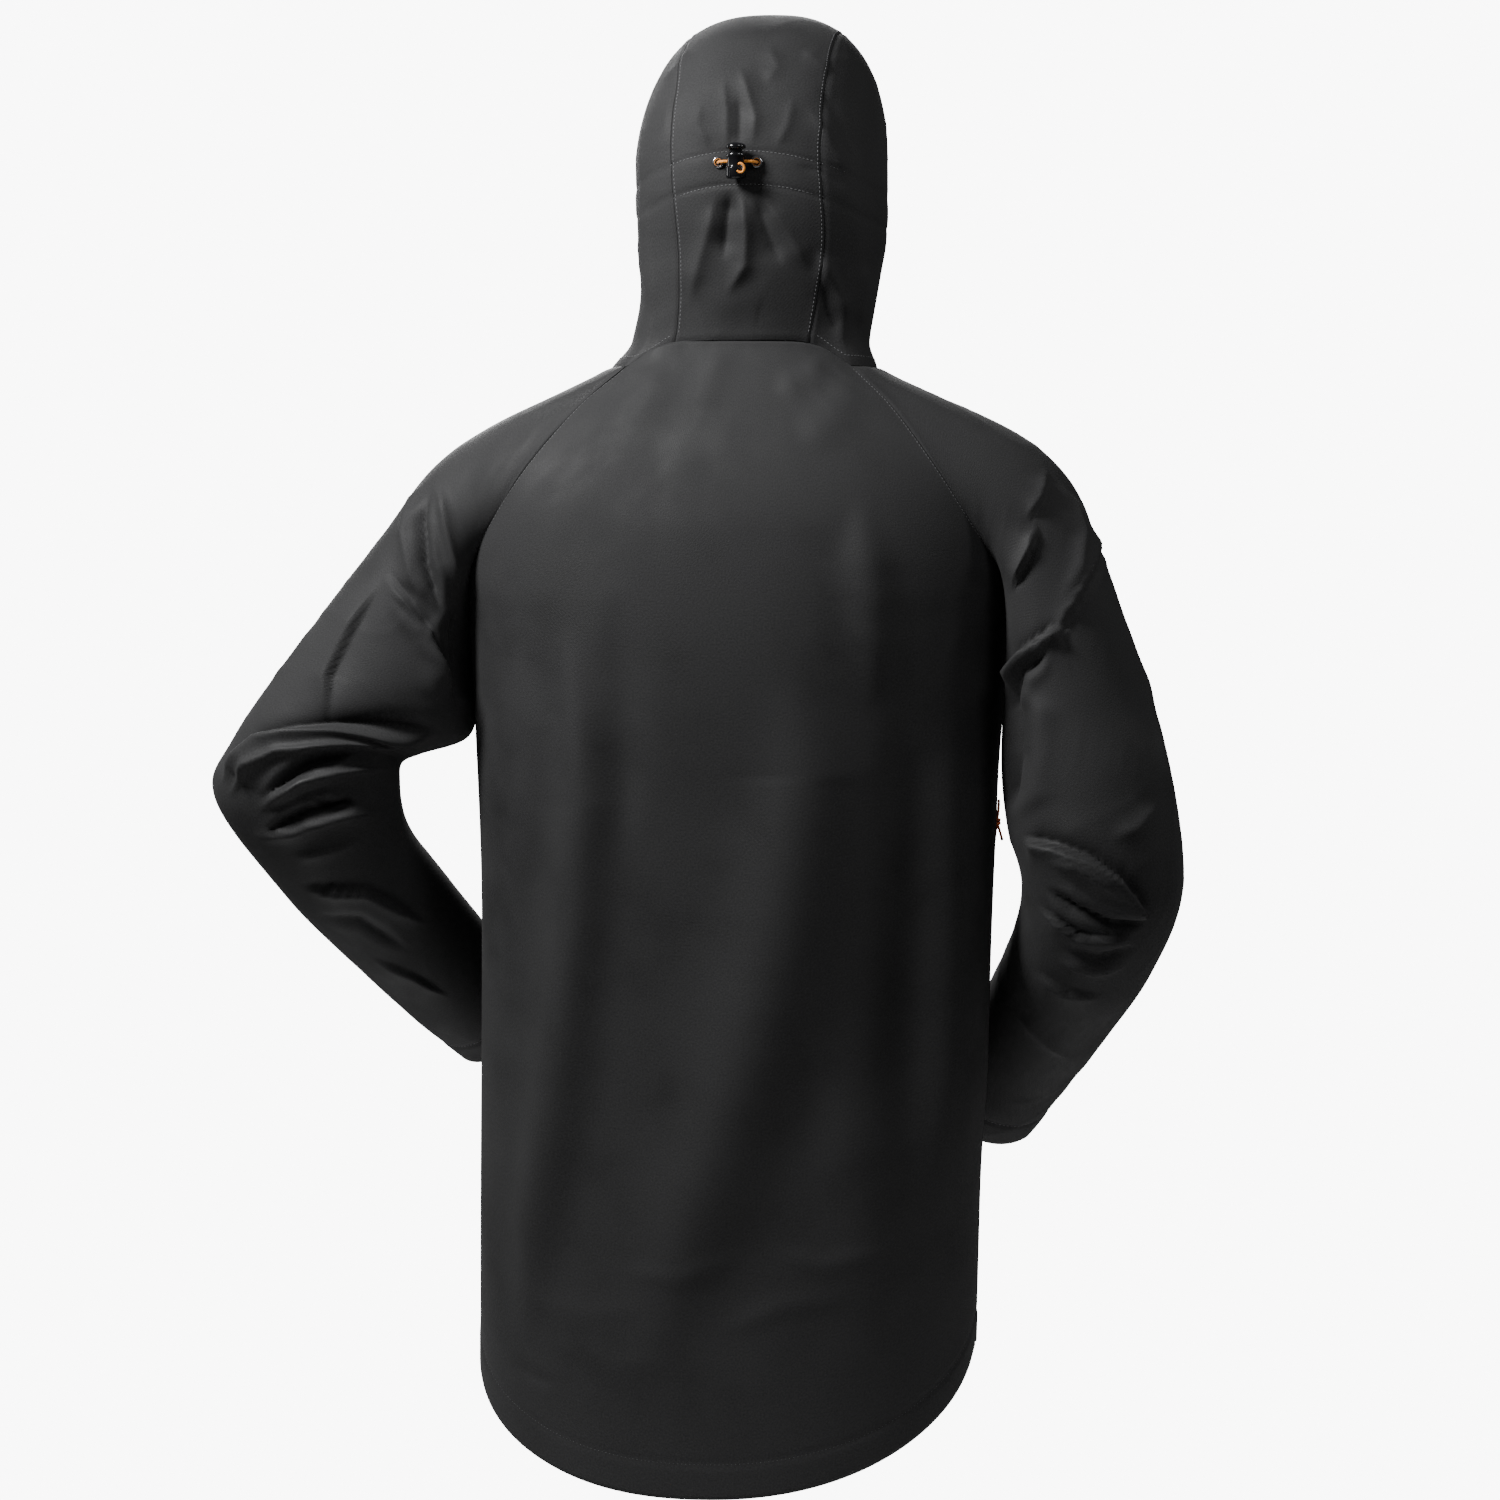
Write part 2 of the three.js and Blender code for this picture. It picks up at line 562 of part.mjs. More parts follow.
function addHood() {
  const rows = [0, 0.06, 0.13, 0.2, 0.28, 0.37, 0.46, 0.55, 0.64, 0.73, 0.82, 0.91, 1];
  const across = evenly(6).map((s) => 2 * s - 1);
  const crown = toSolid(sheet(across, rows, crownSurface, SHELL));
  const holes = [-1, 1].map((side) => {
    const at = eyeletPlace(side);
    const drill = new THREE.CylinderGeometry(EYELET_BORE, EYELET_BORE, 8 * SHELL, 12);
    return toSolid(drill, new THREE.Matrix4().makeTranslation(at.x, at.y, at.z));
  });
  add("hood_center_panel", toGeometry(crown.subtract(holes[0]).subtract(holes[1])), "fabric");
  const columns = [0, 0.12, 0.26, 0.42, 0.58, 0.74, 0.88, 1];
  for (const [name, side] of Object.entries(SIDES)) {
    const surface = (s, t) => hoodSideSurface(side, s, t);
    add(`hood_${name}_panel`, sheet(columns, rows, surface, SHELL), "fabric");
  }
  const brimRows = [0, 0.5, 1].map((t) => 1 + t * BRIM_SHARE);
  const brim = (s, t) => crownSurface(s, t + BRIM_GAP_SHARE);
  add("hood_brim", sheet(across, brimRows, brim, SHELL + BRIM_EXTRA), "fabric");
  const tapeHalf = TUNNEL_REACH * HOOD_HALF_WIDTH;
  const tape = (s, t) => hoodBackPoint(s * tapeHalf, tunnelZ(s * tapeHalf, t));
  const inward = SHELL / 2 + CORD_DIAMETER + 2 * FIT + TRIM / 2;
  const wide = evenly(12).map((s) => 2 * s - 1);
  add("hood_tunnel_tape", sheet(wide, [0, 0.5, 1], tape, TRIM, inward), "lining");
}
// Eyelets are drilled along the hood's normal, which leans little enough at the back to count as Y.
function eyeletPlace(side) {
  const x = LOCK_CENTRE_X + side * EYELET_SPREAD;
  return hoodBackPoint(x - hoodLean(EYELET_Z), EYELET_Z);
}
const lockDrop = LOCK_HEIGHT - BUTTON_HEIGHT; // body floor below the cord
const lockBackY = () => hoodBackPoint(0, EYELET_Z).y + SHELL / 2 + 3 * FIT + LOCK_RADIUS;

function addCordLock() {
  const y = lockBackY();
  const place = new THREE.Matrix4().makeTranslation(LOCK_CENTRE_X, y, EYELET_Z - lockDrop);
  const inside = LOCK_RADIUS - LOCK_WALL;
  const body = lathe(
    [
      [0, 0],
      [LOCK_RADIUS - LOCK_FOOT_ROUNDING, 0],
      [LOCK_RADIUS, LOCK_FOOT_ROUNDING],
      [LOCK_RADIUS, LOCK_HEIGHT - 1],
      [LOCK_RADIUS - 1, LOCK_HEIGHT],
      [inside, LOCK_HEIGHT],
      [inside, LOCK_WALL],
      [0, LOCK_WALL],
    ],
    24,
  );
  const bore = CORD_DIAMETER / 2 + 2 * FIT;
  const cross = new THREE.CylinderGeometry(bore, bore, 4 * LOCK_RADIUS, 12);
  const turned = new THREE.Matrix4().makeRotationZ(Math.PI / 2).setPosition(0, lockDrop, 0);
  const bodySolid = toSolid(body).subtract(toSolid(cross, turned));
  const stand = new THREE.Matrix4().makeRotationX(Math.PI / 2);
  const whole = place.clone().multiply(stand);
  const stemFloor = lockDrop - bore - LOCK_WALL;
  const buttonSeat = LOCK_HEIGHT + LOCK_TRAVEL + FIT;
  const stem = lathe(
    [
      [0, stemFloor],
      [inside - FIT, stemFloor],
      [inside - FIT, buttonSeat],
      [LOCK_RADIUS, buttonSeat],
      [LOCK_RADIUS, buttonSeat + BUTTON_RIM],
      [LOCK_RADIUS * 0.72, buttonSeat + BUTTON_CROWN],
      [0, LOCK_HEIGHT + LOCK_TRAVEL + BUTTON_HEIGHT - 1],
    ],
    24,
  );
  const slot = new THREE.BoxGeometry(4 * LOCK_RADIUS, 2 * bore + LOCK_TRAVEL, 2 * bore);
  const slotPlace = new THREE.Matrix4().makeTranslation(0, lockDrop + LOCK_TRAVEL / 2, 0);
  const stemSolid = toSolid(stem).subtract(toSolid(slot, slotPlace));
  add("hood_cord_lock_body", toGeometry(bodySolid.transform(whole.toArray())), "moulded");
  add("hood_cord_lock_button", toGeometry(stemSolid.transform(whole.toArray())), "moulded");
  const springFloor = LOCK_WALL + SPRING_WIRE / 2 + FIT;
  const springTop = stemFloor - SPRING_WIRE / 2 - FIT;
  const coil = Array.from({ length: 25 }, (_, i) => {
    const turn = (2 * Math.PI * SPRING_TURNS * i) / 24;
    const rise = mix(springFloor, springTop, i / 24);
    return V(SPRING_RADIUS * Math.cos(turn), rise, SPRING_RADIUS * Math.sin(turn));
  });
  add("hood_cord_lock_spring", cordTube(coil, SPRING_WIRE, 40, 6).applyMatrix4(whole), "metal");
}
function addEyeletsAndCord() {
  const y = lockBackY();
  for (const [name, side] of Object.entries(SIDES)) {
    const at = eyeletPlace(side);
    const out = SHELL / 2 + FIT;
    const ring = lathe(
      [
        [EYELET_BORE, out],
        [EYELET_OUTER, out],
        [EYELET_OUTER - 0.5, out + 1],
        [EYELET_BORE, out + 1],
        [EYELET_BORE, out],
      ],
      20,
    );
    add(`hood_${name}_eyelet`, ring.translate(at.x, at.y, at.z), "metal");
  }
  const ends = [1, -1].map((side) => {
    const at = eyeletPlace(side);
    return [
      V(at.x + side * 0.4, at.y - 3.2, EYELET_Z),
      V(at.x, at.y + 1.6, EYELET_Z),
      V(at.x - side * 3, y - 1.2, EYELET_Z),
      V(LOCK_CENTRE_X + side * (LOCK_RADIUS - 1), y, EYELET_Z),
    ];
  });
  const points = [...ends[0], ...[...ends[1]].reverse()];
  add("hood_adjuster_cord", cordTube(points, CORD_DIAMETER, 40, 8), "orange");
}

// ---------- zips ----------
// A straight line that lies outside the body surface, from its upper to its lower end.
function zipLine(top, bottom) {
  const [a, b] = [top, bottom].map(([phi, z]) => bodyPoint(radians(phi), z));
  const along = b.clone().sub(a).normalize();
  const middle = radians((top[0] + bottom[0]) / 2);
  const z = (top[1] + bottom[1]) / 2;
  const round = bodyPoint(middle + 0.01, z).sub(bodyPoint(middle - 0.01, z)).normalize();
  const out = along.clone().cross(round).normalize();
  if (out.dot(V(a.x, a.y, 0)) < 0) out.negate();
  return { a, b, along, out, across: along.clone().cross(out).normalize() };
}
function zipPlace(line, from, lift) {
  const m = new THREE.Matrix4().makeBasis(line.across, line.out, line.along.clone().negate());
  return m.setPosition(line.a.clone().addScaledVector(line.along, from).addScaledVector(line.out, lift));
}
function addSliderAndPull(name, line, at, lift) {
  const wings = SLIDER_WIDTH / 2;
  const outline = new THREE.Shape([
    new THREE.Vector2(-wings, SLIDER_LENGTH * 0.5),
    new THREE.Vector2(-wings * 0.55, -SLIDER_LENGTH * 0.5),
    new THREE.Vector2(wings * 0.55, -SLIDER_LENGTH * 0.5),
    new THREE.Vector2(wings, SLIDER_LENGTH * 0.5),
  ]);
  const body = new THREE.ExtrudeGeometry(outline, { depth: SLIDER_THICK, bevelEnabled: false });
  const stand = new THREE.Matrix4().makeRotationX(-Math.PI / 2);
  const seat = zipPlace(line, at, lift).multiply(stand);
  add(`${name}_slider`, body.applyMatrix4(seat), "moulded");
  const hang = line.a
    .clone()
    .addScaledVector(line.along, at)
    .addScaledVector(line.out, lift + SLIDER_THICK + FIT + PULL_DIAMETER / 2);
  const side = Math.sign(hang.x || 1) * Math.sign(line.out.y || -1);
  const points = [0, 0.35, 0.7, 1].map((s) =>
    hang.clone().add(V(side * s * s * 1.5, 0, -s * PULL_DROP)),
  );
  const tail = points[3].clone().add(V(side * 2, 0, -PULL_TAIL - KNOT_RADIUS));
  const cord = toSolid(cordTube([...points, tail], PULL_DIAMETER, 12, 8));
  const knot = new THREE.SphereGeometry(KNOT_RADIUS, 10, 8);
  const tied = cord.add(toSolid(knot, new THREE.Matrix4().makeTranslation(points[3].x, points[3].y, points[3].z)));
  add(`${name}_pull_cord`, toGeometry(tied), "rust");
}
const zipJoints = {};
// A zip laid on the outside of the shell: tape, teeth, slider and pull.
function addSideZip(name, top, bottom, slack, sliderAtTop) {
  const line = zipLine(top, bottom);
  const length = line.a.distanceTo(line.b);
  const seat = SHELL / 2 + FIT + slack;
  const tape = new THREE.BoxGeometry(2 * TAPE_WIDTH, TRIM, length, 1, 1, 1);
  const middle = zipPlace(line, length / 2, seat + TRIM / 2);
  add(`${name}_tape`, tape.applyMatrix4(middle), "tape");
  const teethSeat = seat + TRIM + FIT;
  const teeth = new THREE.BoxGeometry(2 * TEETH_WIDTH, TEETH_THICK, length - 6, 1, 1, 1);
  const teethMiddle = zipPlace(line, length / 2, teethSeat + TEETH_THICK / 2);
  add(`${name}_teeth`, teeth.applyMatrix4(teethMiddle), "moulded");
  const rest = sliderAtTop ? SLIDER_LENGTH : length - SLIDER_LENGTH;
  addSliderAndPull(name, line, rest, teethSeat + TEETH_THICK + FIT);
  zipJoints[name] = { line, travel: length - 2 * SLIDER_LENGTH, down: sliderAtTop };
}
const PIT_ZIP = { phi: 109, top: -225, bottom: -372, slack: 0.3 };
const POCKET_ZIP = { phi: 139, lean: 5, top: -520, bottom: -680, slack: -0.5 };
const POCKET_BAG = { wide: 0.34, tall: 200 };
const BAG_SLACK = 2.5; // room between a pocket bag and the front, which bends more coarsely

function addSideZips() {
  for (const [name, side] of Object.entries(SIDES)) {
    const pit = PIT_ZIP;
    addSideZip(`${name}_pit_zip`, [side * pit.phi, pit.top], [side * pit.phi, pit.bottom], pit.slack, false);
    const pocket = POCKET_ZIP;
    const lower = side * (pocket.phi - pocket.lean);
    addSideZip(`${name}_pocket_zip`, [side * pocket.phi, pocket.top], [lower, pocket.bottom], pocket.slack, true);
    const inward = -(SHELL / 2 + BAG_SLACK + TRIM / 2);
    const middle = radians(pocket.phi + 4);
    const bag = (s, t) =>
      bodyPoint(side * (middle + (s - 0.5) * 2 * POCKET_BAG.wide), mix(pocket.top + 20, pocket.top - POCKET_BAG.tall, t));
    add(`${name}_pocket_bag`, sheet(evenly(6), evenly(4), bag, TRIM, side * inward), "lining");
  }
}
function addFrontZip() {
  const top = COLLAR_RISE - 2;
  const bottom = FRONT_HEM_Z + 4;
  const line = zipLine([180, top], [180, bottom]);
  const length = line.a.distanceTo(line.b);
  const behind = -(SHELL / 2 + FIT + TRIM / 2);
  const reach = TAPE_WIDTH / 2 + FIT;
  for (const [name, side] of Object.entries(SIDES)) {
    const shift = (piece, x, lift) =>
      piece.translate(side * x * Math.sign(line.across.x), 0, 0).applyMatrix4(zipPlace(line, length / 2, lift));
    const tape = new THREE.BoxGeometry(TAPE_WIDTH, TRIM, length - 10);
    add(`front_zip_${name}_tape`, shift(tape, reach, behind - FRONT_ZIP_SINK), "tape");
    const teeth = new THREE.BoxGeometry(TEETH_WIDTH / 2 - FIT, TEETH_THICK, length - 4);
    add(`front_zip_${name}_teeth`, shift(teeth, TEETH_WIDTH / 4 + FIT / 4, 0), "moulded");
  }
  const box = new THREE.BoxGeometry(TEETH_WIDTH, TEETH_THICK + 1, 4);
  add("front_zip_box", box.applyMatrix4(zipPlace(line, length + 0.6, 0)), "moulded");
  addSliderAndPull("front_zip", line, SLIDER_LENGTH, SHELL / 2 + FIT + 0.3);
  zipJoints.front_zip = { line, travel: length - 2 * SLIDER_LENGTH, down: true };
  const flapSeat = behind - FRONT_ZIP_SINK - TRIM - 2 * FIT;
  const flap = new THREE.BoxGeometry(2 * TAPE_WIDTH, TRIM, length - 8);
  add("storm_flap", flap.applyMatrix4(zipPlace(line, length / 2, flapSeat)), "lining");
  const guard = new THREE.BoxGeometry(1.6 * TAPE_WIDTH, TRIM, 45);
  add("chin_guard", guard.applyMatrix4(zipPlace(line, 26, flapSeat - TRIM - FIT)), "lining");
}

// ---------- facings and trim ----------
function addTrim() {
  const around = evenly(28).map((s) => mix(-HEM_FACING_REACH, HEM_FACING_REACH, s));
  const facing = (s, t) => {
    const phi = radians(s);
    return bodyPoint(phi, hemZ(phi) + mix(1, HEM_DEPTH, t));
  };
  const inward = SHELL / 2 + FIT + TRIM / 2 + HEM_FACING_SLACK;
  add("hem_facing", sheet(around, [0, 1], facing, TRIM, inward), "lining");
  const nape = evenly(8).map((s) => mix(-NECK_TAPE_REACH, NECK_TAPE_REACH, s));
  const tape = (s, t) => bodyPoint(radians(s), -3 - NECK_TAPE_DEPTH * t);
  const tapeSeat = SHELL / 2 + FIT + TRIM / 2 + 0.4;
  add("neck_tape", sheet(nape, [0, 1], tape, TRIM, -tapeSeat), "tape");
  const inner = backDepth(-9) - tapeSeat - TRIM / 2 - FIT;
  const label = new THREE.BoxGeometry(30, TRIM, 16);
  add("neck_label", label.translate(-24, inner - 5.7, -13), "tape");
  const loop = new THREE.Shape();
  loop.absarc(0, 0, LOOP_OUTER, 0, Math.PI, true);
  loop.lineTo(-LOOP_INNER, 0);
  loop.absarc(0, 0, LOOP_INNER, Math.PI, 0, false);
  loop.closePath();
  const strap = new THREE.ExtrudeGeometry(loop, { depth: 2, bevelEnabled: false, curveSegments: 10 });
  strap.rotateX(Math.PI / 2).translate(0, inner - 2.4, -6);
  add("hang_loop", strap, "tape");
}

addBodyPanels();
addSleeves();
addHood();
addCordLock();
addEyeletsAndCord();
addSideZips();
addFrontZip();
addTrim();

// Joint axes and travels, for whoever sets the jacket in motion.
function elbowJoint(name) {
  const upper = armRing(name, ELBOW_RING).centre.sub(armRing(name, ELBOW_RING - 2).centre).normalize();
  const fore = armRing(name, ELBOW_RING + 2).centre.sub(armRing(name, ELBOW_RING).centre).normalize();
  const axis = fore.clone().cross(upper).normalize();
  const outward = upper.clone().sub(fore).normalize();
  const rim = evenly(72).map((v) => ringPoint(name, ELBOW_RING, v));
  const tip = rim.reduce((best, p) => (p.dot(outward) > best.dot(outward) ? p : best));
  return { pos: tip.clone().addScaledVector(outward, SHELL), axis };
}
function tabJoint(name) {
  const end = sleeveLength(name);
  const hem = stepShare(name, end - 0.05, CUFF_HEM_DEPTH);
  const a = sleeveSurface(name, TAB_START, end - 0.92 * hem);
  const b = sleeveSurface(name, TAB_START, end - 0.12 * hem);
  return { pos: a.clone().add(b).multiplyScalar(0.5), axis: b.sub(a).normalize().multiplyScalar(-SIDES[name]) };
}
jacket.userData.joints = { zips: zipJoints };
for (const name of Object.keys(SIDES)) {
  jacket.userData.joints[`${name}_elbow`] = elbowJoint(name);
  jacket.userData.joints[`${name}_cuff_tab`] = tabJoint(name);
}

export default jacket;
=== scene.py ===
"""The looks of a hooded hardshell jacket, shaped as if worn, in the frame of its CAD part.

Sizes are in millimetres and become metres when a mesh is made. The wearer faces -Y and the
wearer's left is +X.
"""

import json
import logging
import math
from dataclasses import dataclass, field
from enum import Enum
from typing import Callable, Sequence

import bmesh
import bpy
import numpy as np
from mathutils import Matrix, Vector


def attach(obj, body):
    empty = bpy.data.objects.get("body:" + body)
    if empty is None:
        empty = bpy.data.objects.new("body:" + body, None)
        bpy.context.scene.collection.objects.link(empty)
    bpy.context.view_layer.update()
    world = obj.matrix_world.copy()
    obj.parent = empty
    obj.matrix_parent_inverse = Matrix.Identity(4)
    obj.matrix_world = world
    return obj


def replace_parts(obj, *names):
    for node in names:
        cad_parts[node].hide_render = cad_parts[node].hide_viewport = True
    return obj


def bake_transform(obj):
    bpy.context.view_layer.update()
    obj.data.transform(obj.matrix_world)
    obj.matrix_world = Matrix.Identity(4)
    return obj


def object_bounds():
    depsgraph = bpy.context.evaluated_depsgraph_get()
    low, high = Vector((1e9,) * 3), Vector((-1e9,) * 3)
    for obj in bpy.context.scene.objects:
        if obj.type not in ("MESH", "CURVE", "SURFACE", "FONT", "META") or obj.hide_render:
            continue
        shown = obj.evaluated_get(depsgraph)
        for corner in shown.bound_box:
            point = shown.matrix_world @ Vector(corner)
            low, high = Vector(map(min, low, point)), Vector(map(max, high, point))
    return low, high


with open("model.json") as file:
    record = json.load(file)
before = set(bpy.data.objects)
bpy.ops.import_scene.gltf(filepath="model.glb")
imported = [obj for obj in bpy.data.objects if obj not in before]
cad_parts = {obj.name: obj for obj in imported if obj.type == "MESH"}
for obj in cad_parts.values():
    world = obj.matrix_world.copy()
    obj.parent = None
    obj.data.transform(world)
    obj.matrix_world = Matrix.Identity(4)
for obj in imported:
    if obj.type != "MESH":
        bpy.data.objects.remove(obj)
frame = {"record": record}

Array = np.ndarray
Surface = Callable[[Array, Array], Array]

LOG = logging.getLogger("jacket")
MM = 0.001
OVERRUN = 0.2  # how far past its ends a curve through pairs may run, as a share of a span
LEAST_GAP = 1e-4
CAD_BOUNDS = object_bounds()

TAIL_LENGTH = 890.0
TAIL_DROP = 110.0
FRONT_HEM_Z = TAIL_DROP - TAIL_LENGTH
NECK_SIDE_DROP = 20.0
COLLAR_RISE = 20.0
ARMPIT_DROP = 193.0
FRONT_TOP_DEPTH = 100.0
FRONT_HEM_DEPTH = 138.0
HEM_LEAN = 13.0
SQUARENESS = 2.2
HEM_DEPTH = 26.5
CUFF_HEM_DEPTH = 26.0

SHELL = 1.8  # the CAD's thickness, whose outer face the fabric follows
CLOTH = 0.7
TUCK = 0.7  # how far an edge that is sewn underneath runs on past its seam
FIT = 0.35
TRIM = 1.2

HOOD_HALF_WIDTH = 99.0
HOOD_SQUARENESS = 2.6
HOOD_PANEL_HALF = 58.0
HOOD_MIDDLE = np.array([-6.0, -62.0, 110.0])
NAPE_DEGREES = -45.8
BRIM_DEGREES = 140.0
TUNNEL_Z = 133.0
TUNNEL_DROP = 28.0
TUNNEL_WIDTH = 26.0
EYELET_SPREAD = 15.0
EYELET_Z = 137.0
EYELET_OUTER = 4.4
EYELET_BORE = 2.5
LOCK_CENTRE_X = -3.0
LOCK_RADIUS = 7.8
LOCK_HEIGHT = 20.0
BUTTON_HEIGHT = 6.5
LOCK_TRAVEL = 3.0
CORD_DIAMETER = 2.4

TEETH_WIDTH = 4.0
TEETH_THICK = 1.6
SLIDER_WIDTH = 10.0
SLIDER_LENGTH = 15.0
SLIDER_THICK = 4.0
PULL_DIAMETER = 2.4
PULL_DROP = 17.0
PULL_TAIL = 12.0
KNOT_RADIUS = 3.6

VIEW_AZIMUTH = 188.0
VIEW_ELEVATION = 1.0
FLOOR_GAP = 0.2  # in metres, as is the next
FLOOR_RADIUS = 0.9


class Side(Enum):
    """A side of the wearer; its value is the sign of X."""

    LEFT = 1
    RIGHT = -1

    @property
    def word(self) -> str:
        """The side's name as the CAD nodes spell it."""
        return self.name.lower()


# ---------------------------------------------------------------- small mathematics
def cubic(b: Array, m0: Array, c: Array, m1: Array, w: Array) -> Array:
    """A smooth curve from b to c.

    Args:
        b: Its values at the start.
        m0: Its slopes at the start.
        c: Its values at the end.
        m1: Its slopes at the end.
        w: Shares of the way from start to end.

    Returns:
        The values at those shares.
    """
    w2, w3 = w * w, w * w * w
    return (2 * w3 - 3 * w2 + 1) * b + (w3 - 2 * w2 + w) * m0 + (3 * w2 - 2 * w3) * c + (w3 - w2) * m1


def spline(points: Array, at: Array) -> Array:
    """A centripetal spline through points.

    Args:
        points: The points.
        at: Places on it, counted in points from the first.

    Returns:
        The spline's points at those places.
    """
    p = np.vstack([2 * points[0] - points[1], points, 2 * points[-1] - points[-2]])
    i = np.minimum(at.astype(int), len(points) - 2)
    a, b, c, d = p[i], p[i + 1], p[i + 2], p[i + 3]
    gaps = [np.linalg.norm(v - u, axis=-1, keepdims=True) for u, v in ((a, b), (b, c), (c, d))]
    d0, d1, d2 = (np.maximum(gap, LEAST_GAP) ** 0.5 for gap in gaps)
    m0 = ((b - a) / d0 - (c - a) / (d0 + d1) + (c - b) / d1) * d1
    m1 = ((c - b) / d1 - (d - b) / (d1 + d2) + (d - c) / d2) * d1
    return cubic(b, m0, c, m1, (at - i)[..., None])


def through(pairs: Sequence[tuple[float, float]]) -> Callable[[Array], Array]:
    """A smooth function through (place, value) pairs in rising order of place.

    Args:
        pairs: The places and values.

    Returns:
        A function of an array of places.
    """
    places = np.array([p[0] for p in pairs], float)
    values = np.array([p[1] for p in pairs], float)
    before = np.maximum(np.arange(len(pairs)) - 1, 0)
    after = np.minimum(np.arange(len(pairs)) + 1, len(pairs) - 1)
    slopes = (values[after] - values[before]) / (places[after] - places[before])

    def value(at: Array) -> Array:
        """The function's value at places."""
        at = np.asarray(at, float)
        i = np.clip(np.searchsorted(places, at, side="right") - 1, 0, len(places) - 2)
        span = places[i + 1] - places[i]
        share = np.clip((at - places[i]) / span, -OVERRUN, 1 + OVERRUN)
        return cubic(values[i], span * slopes[i], values[i + 1], span * slopes[i + 1], share)

    return value


def mix(a: Array, b: Array, t: Array) -> Array:
    """The value a share t of the way from a to b."""
    return a + (b - a) * t


def signed_power(v: Array, p: float) -> Array:
    """The power of a value's size, with its sign kept."""
    return np.sign(v) * np.abs(v) ** p


def smooth(low: float, high: float, v: Array) -> Array:
    """Zero below low, one above high and a smooth step between."""
    t = np.clip((v - low) / (high - low), 0, 1)
    return t * t * (3 - 2 * t)


def unit(v: Array) -> Array:
    """Vectors along the last axis, brought to length one."""
    return v / np.maximum(np.linalg.norm(v, axis=-1, keepdims=True), 1e-12)


def stack(x: Array, y: Array, z: Array) -> Array:
    """Points from their three coordinates, which are broadcast together."""
    return np.stack(np.broadcast_arrays(x, y, z), -1).astype(float)


def view_direction(azimuth: float, elevation: float) -> Array:
    """The direction from the object to a camera at these angles."""
    a, e = math.radians(azimuth), math.radians(elevation)
    return np.array([math.sin(a) * math.cos(e), -math.cos(a) * math.cos(e), math.sin(e)])


BACKWARD = view_direction(VIEW_AZIMUTH, 0.0)
ACROSS = np.array([BACKWARD[1], -BACKWARD[0], 0.0])


# ---------------------------------------------------------------- the body's form
half_width = through(
    [
        (FRONT_HEM_Z - TAIL_DROP, 192),
        (FRONT_HEM_Z, 194),
        (-600, 196.5),
        (-430, 199),
        (-312, 205),
        (-218, 212),
        (-193, 217),
        (-146, 216),
        (-98, 202),
        (-50, 151),
        (-20, 104),
        (0, 92),
        (20, 88),
    ]
)
back_depth = through(
    [
        (-890, 132),
        (-600, 120),
        (-400, 118),
        (-250, 123),
        (-150, 114),
        (-98, 99),
        (-50, 75),
        (-20, 55),
        (0, 45),
        (20, 45),
    ]
)
back_raglan = through([(-193, 217), (-182, 212), (-146, 190), (-98, 159), (-50, 121), (-20, 88)])
front_raglan = through([(-193, 217), (-182, 204), (-146, 167), (-98, 130), (-50, 101), (-20, 82)])
RAGLAN_ROWS = np.array([-20.0, -45, -75, -105, -135, -162, -182, -193])


def front_depth(z: Array) -> Array:
    """How far the zip stands ahead of the side seams at a height."""
    return mix(FRONT_TOP_DEPTH, FRONT_HEM_DEPTH, (COLLAR_RISE - z) / (COLLAR_RISE - FRONT_HEM_Z))


def middle_x(z: Array) -> Array:
    """How far the body's middle leans to +X at a height."""
    return HEM_LEAN * (z / FRONT_HEM_Z)


def body_point(phi: Array, z: Array) -> Array:
    """Points of the body by angle round from the middle of the back and height."""
    phi, z = np.broadcast_arrays(np.asarray(phi, float), np.asarray(z, float))
    depth = np.where(np.cos(phi) > 0, back_depth(z), front_depth(z))
    x = middle_x(z) + half_width(z) * signed_power(np.sin(phi), 2 / SQUARENESS)
    return stack(x, depth * signed_power(np.cos(phi), 2 / SQUARENESS), z)


def body_normal(p: Array) -> Array:
    """The level outward direction of the body's section through points."""
    z = p[..., 2]
    a = half_width(z)
    b = np.where(p[..., 1] > 0, back_depth(z), front_depth(z))
    x = signed_power((p[..., 0] - middle_x(z)) / a, SQUARENESS - 1) / a
    y = signed_power(p[..., 1] / b, SQUARENESS - 1) / b
    return unit(stack(x, y, 0 * z))


def hem_z(phi: Array) -> Array:
    """The hem's height by angle round the body."""
    return FRONT_HEM_Z - TAIL_DROP * np.maximum(0, np.cos(phi))


def seam_angle(raglan: Callable[[Array], Array], z: Array) -> Array:
    """The angle round the body at which a raglan seam stands at a height."""
    z = np.asarray(z, float)
    share = np.minimum(1, np.abs(raglan(z)) / half_width(z))
    angle = np.arcsin(share ** (SQUARENESS / 2))
    return np.where(z <= -ARMPIT_DROP + 0.01, math.pi / 2, angle)


def neck_back_z(s: Array) -> Array:
    """The back neck seam's height by share of the way to the raglan seam."""
    return -NECK_SIDE_DROP * np.abs(s) ** 5


def neck_front_z(s: Array) -> Array:
    """The front neck seam's height from the raglan seam to the chin."""
    return mix(-NECK_SIDE_DROP, COLLAR_RISE, s * s)


def back_surface(s: Array, t: Array) -> Array:
    """The back panel: s from -1 to 1 across, t from neck to hem."""
    z = mix(neck_back_z(s), hem_z(s * math.pi / 2), t)
    edge = mix(-NECK_SIDE_DROP, FRONT_HEM_Z, t)
    return body_point(s * seam_angle(back_raglan, edge), z)


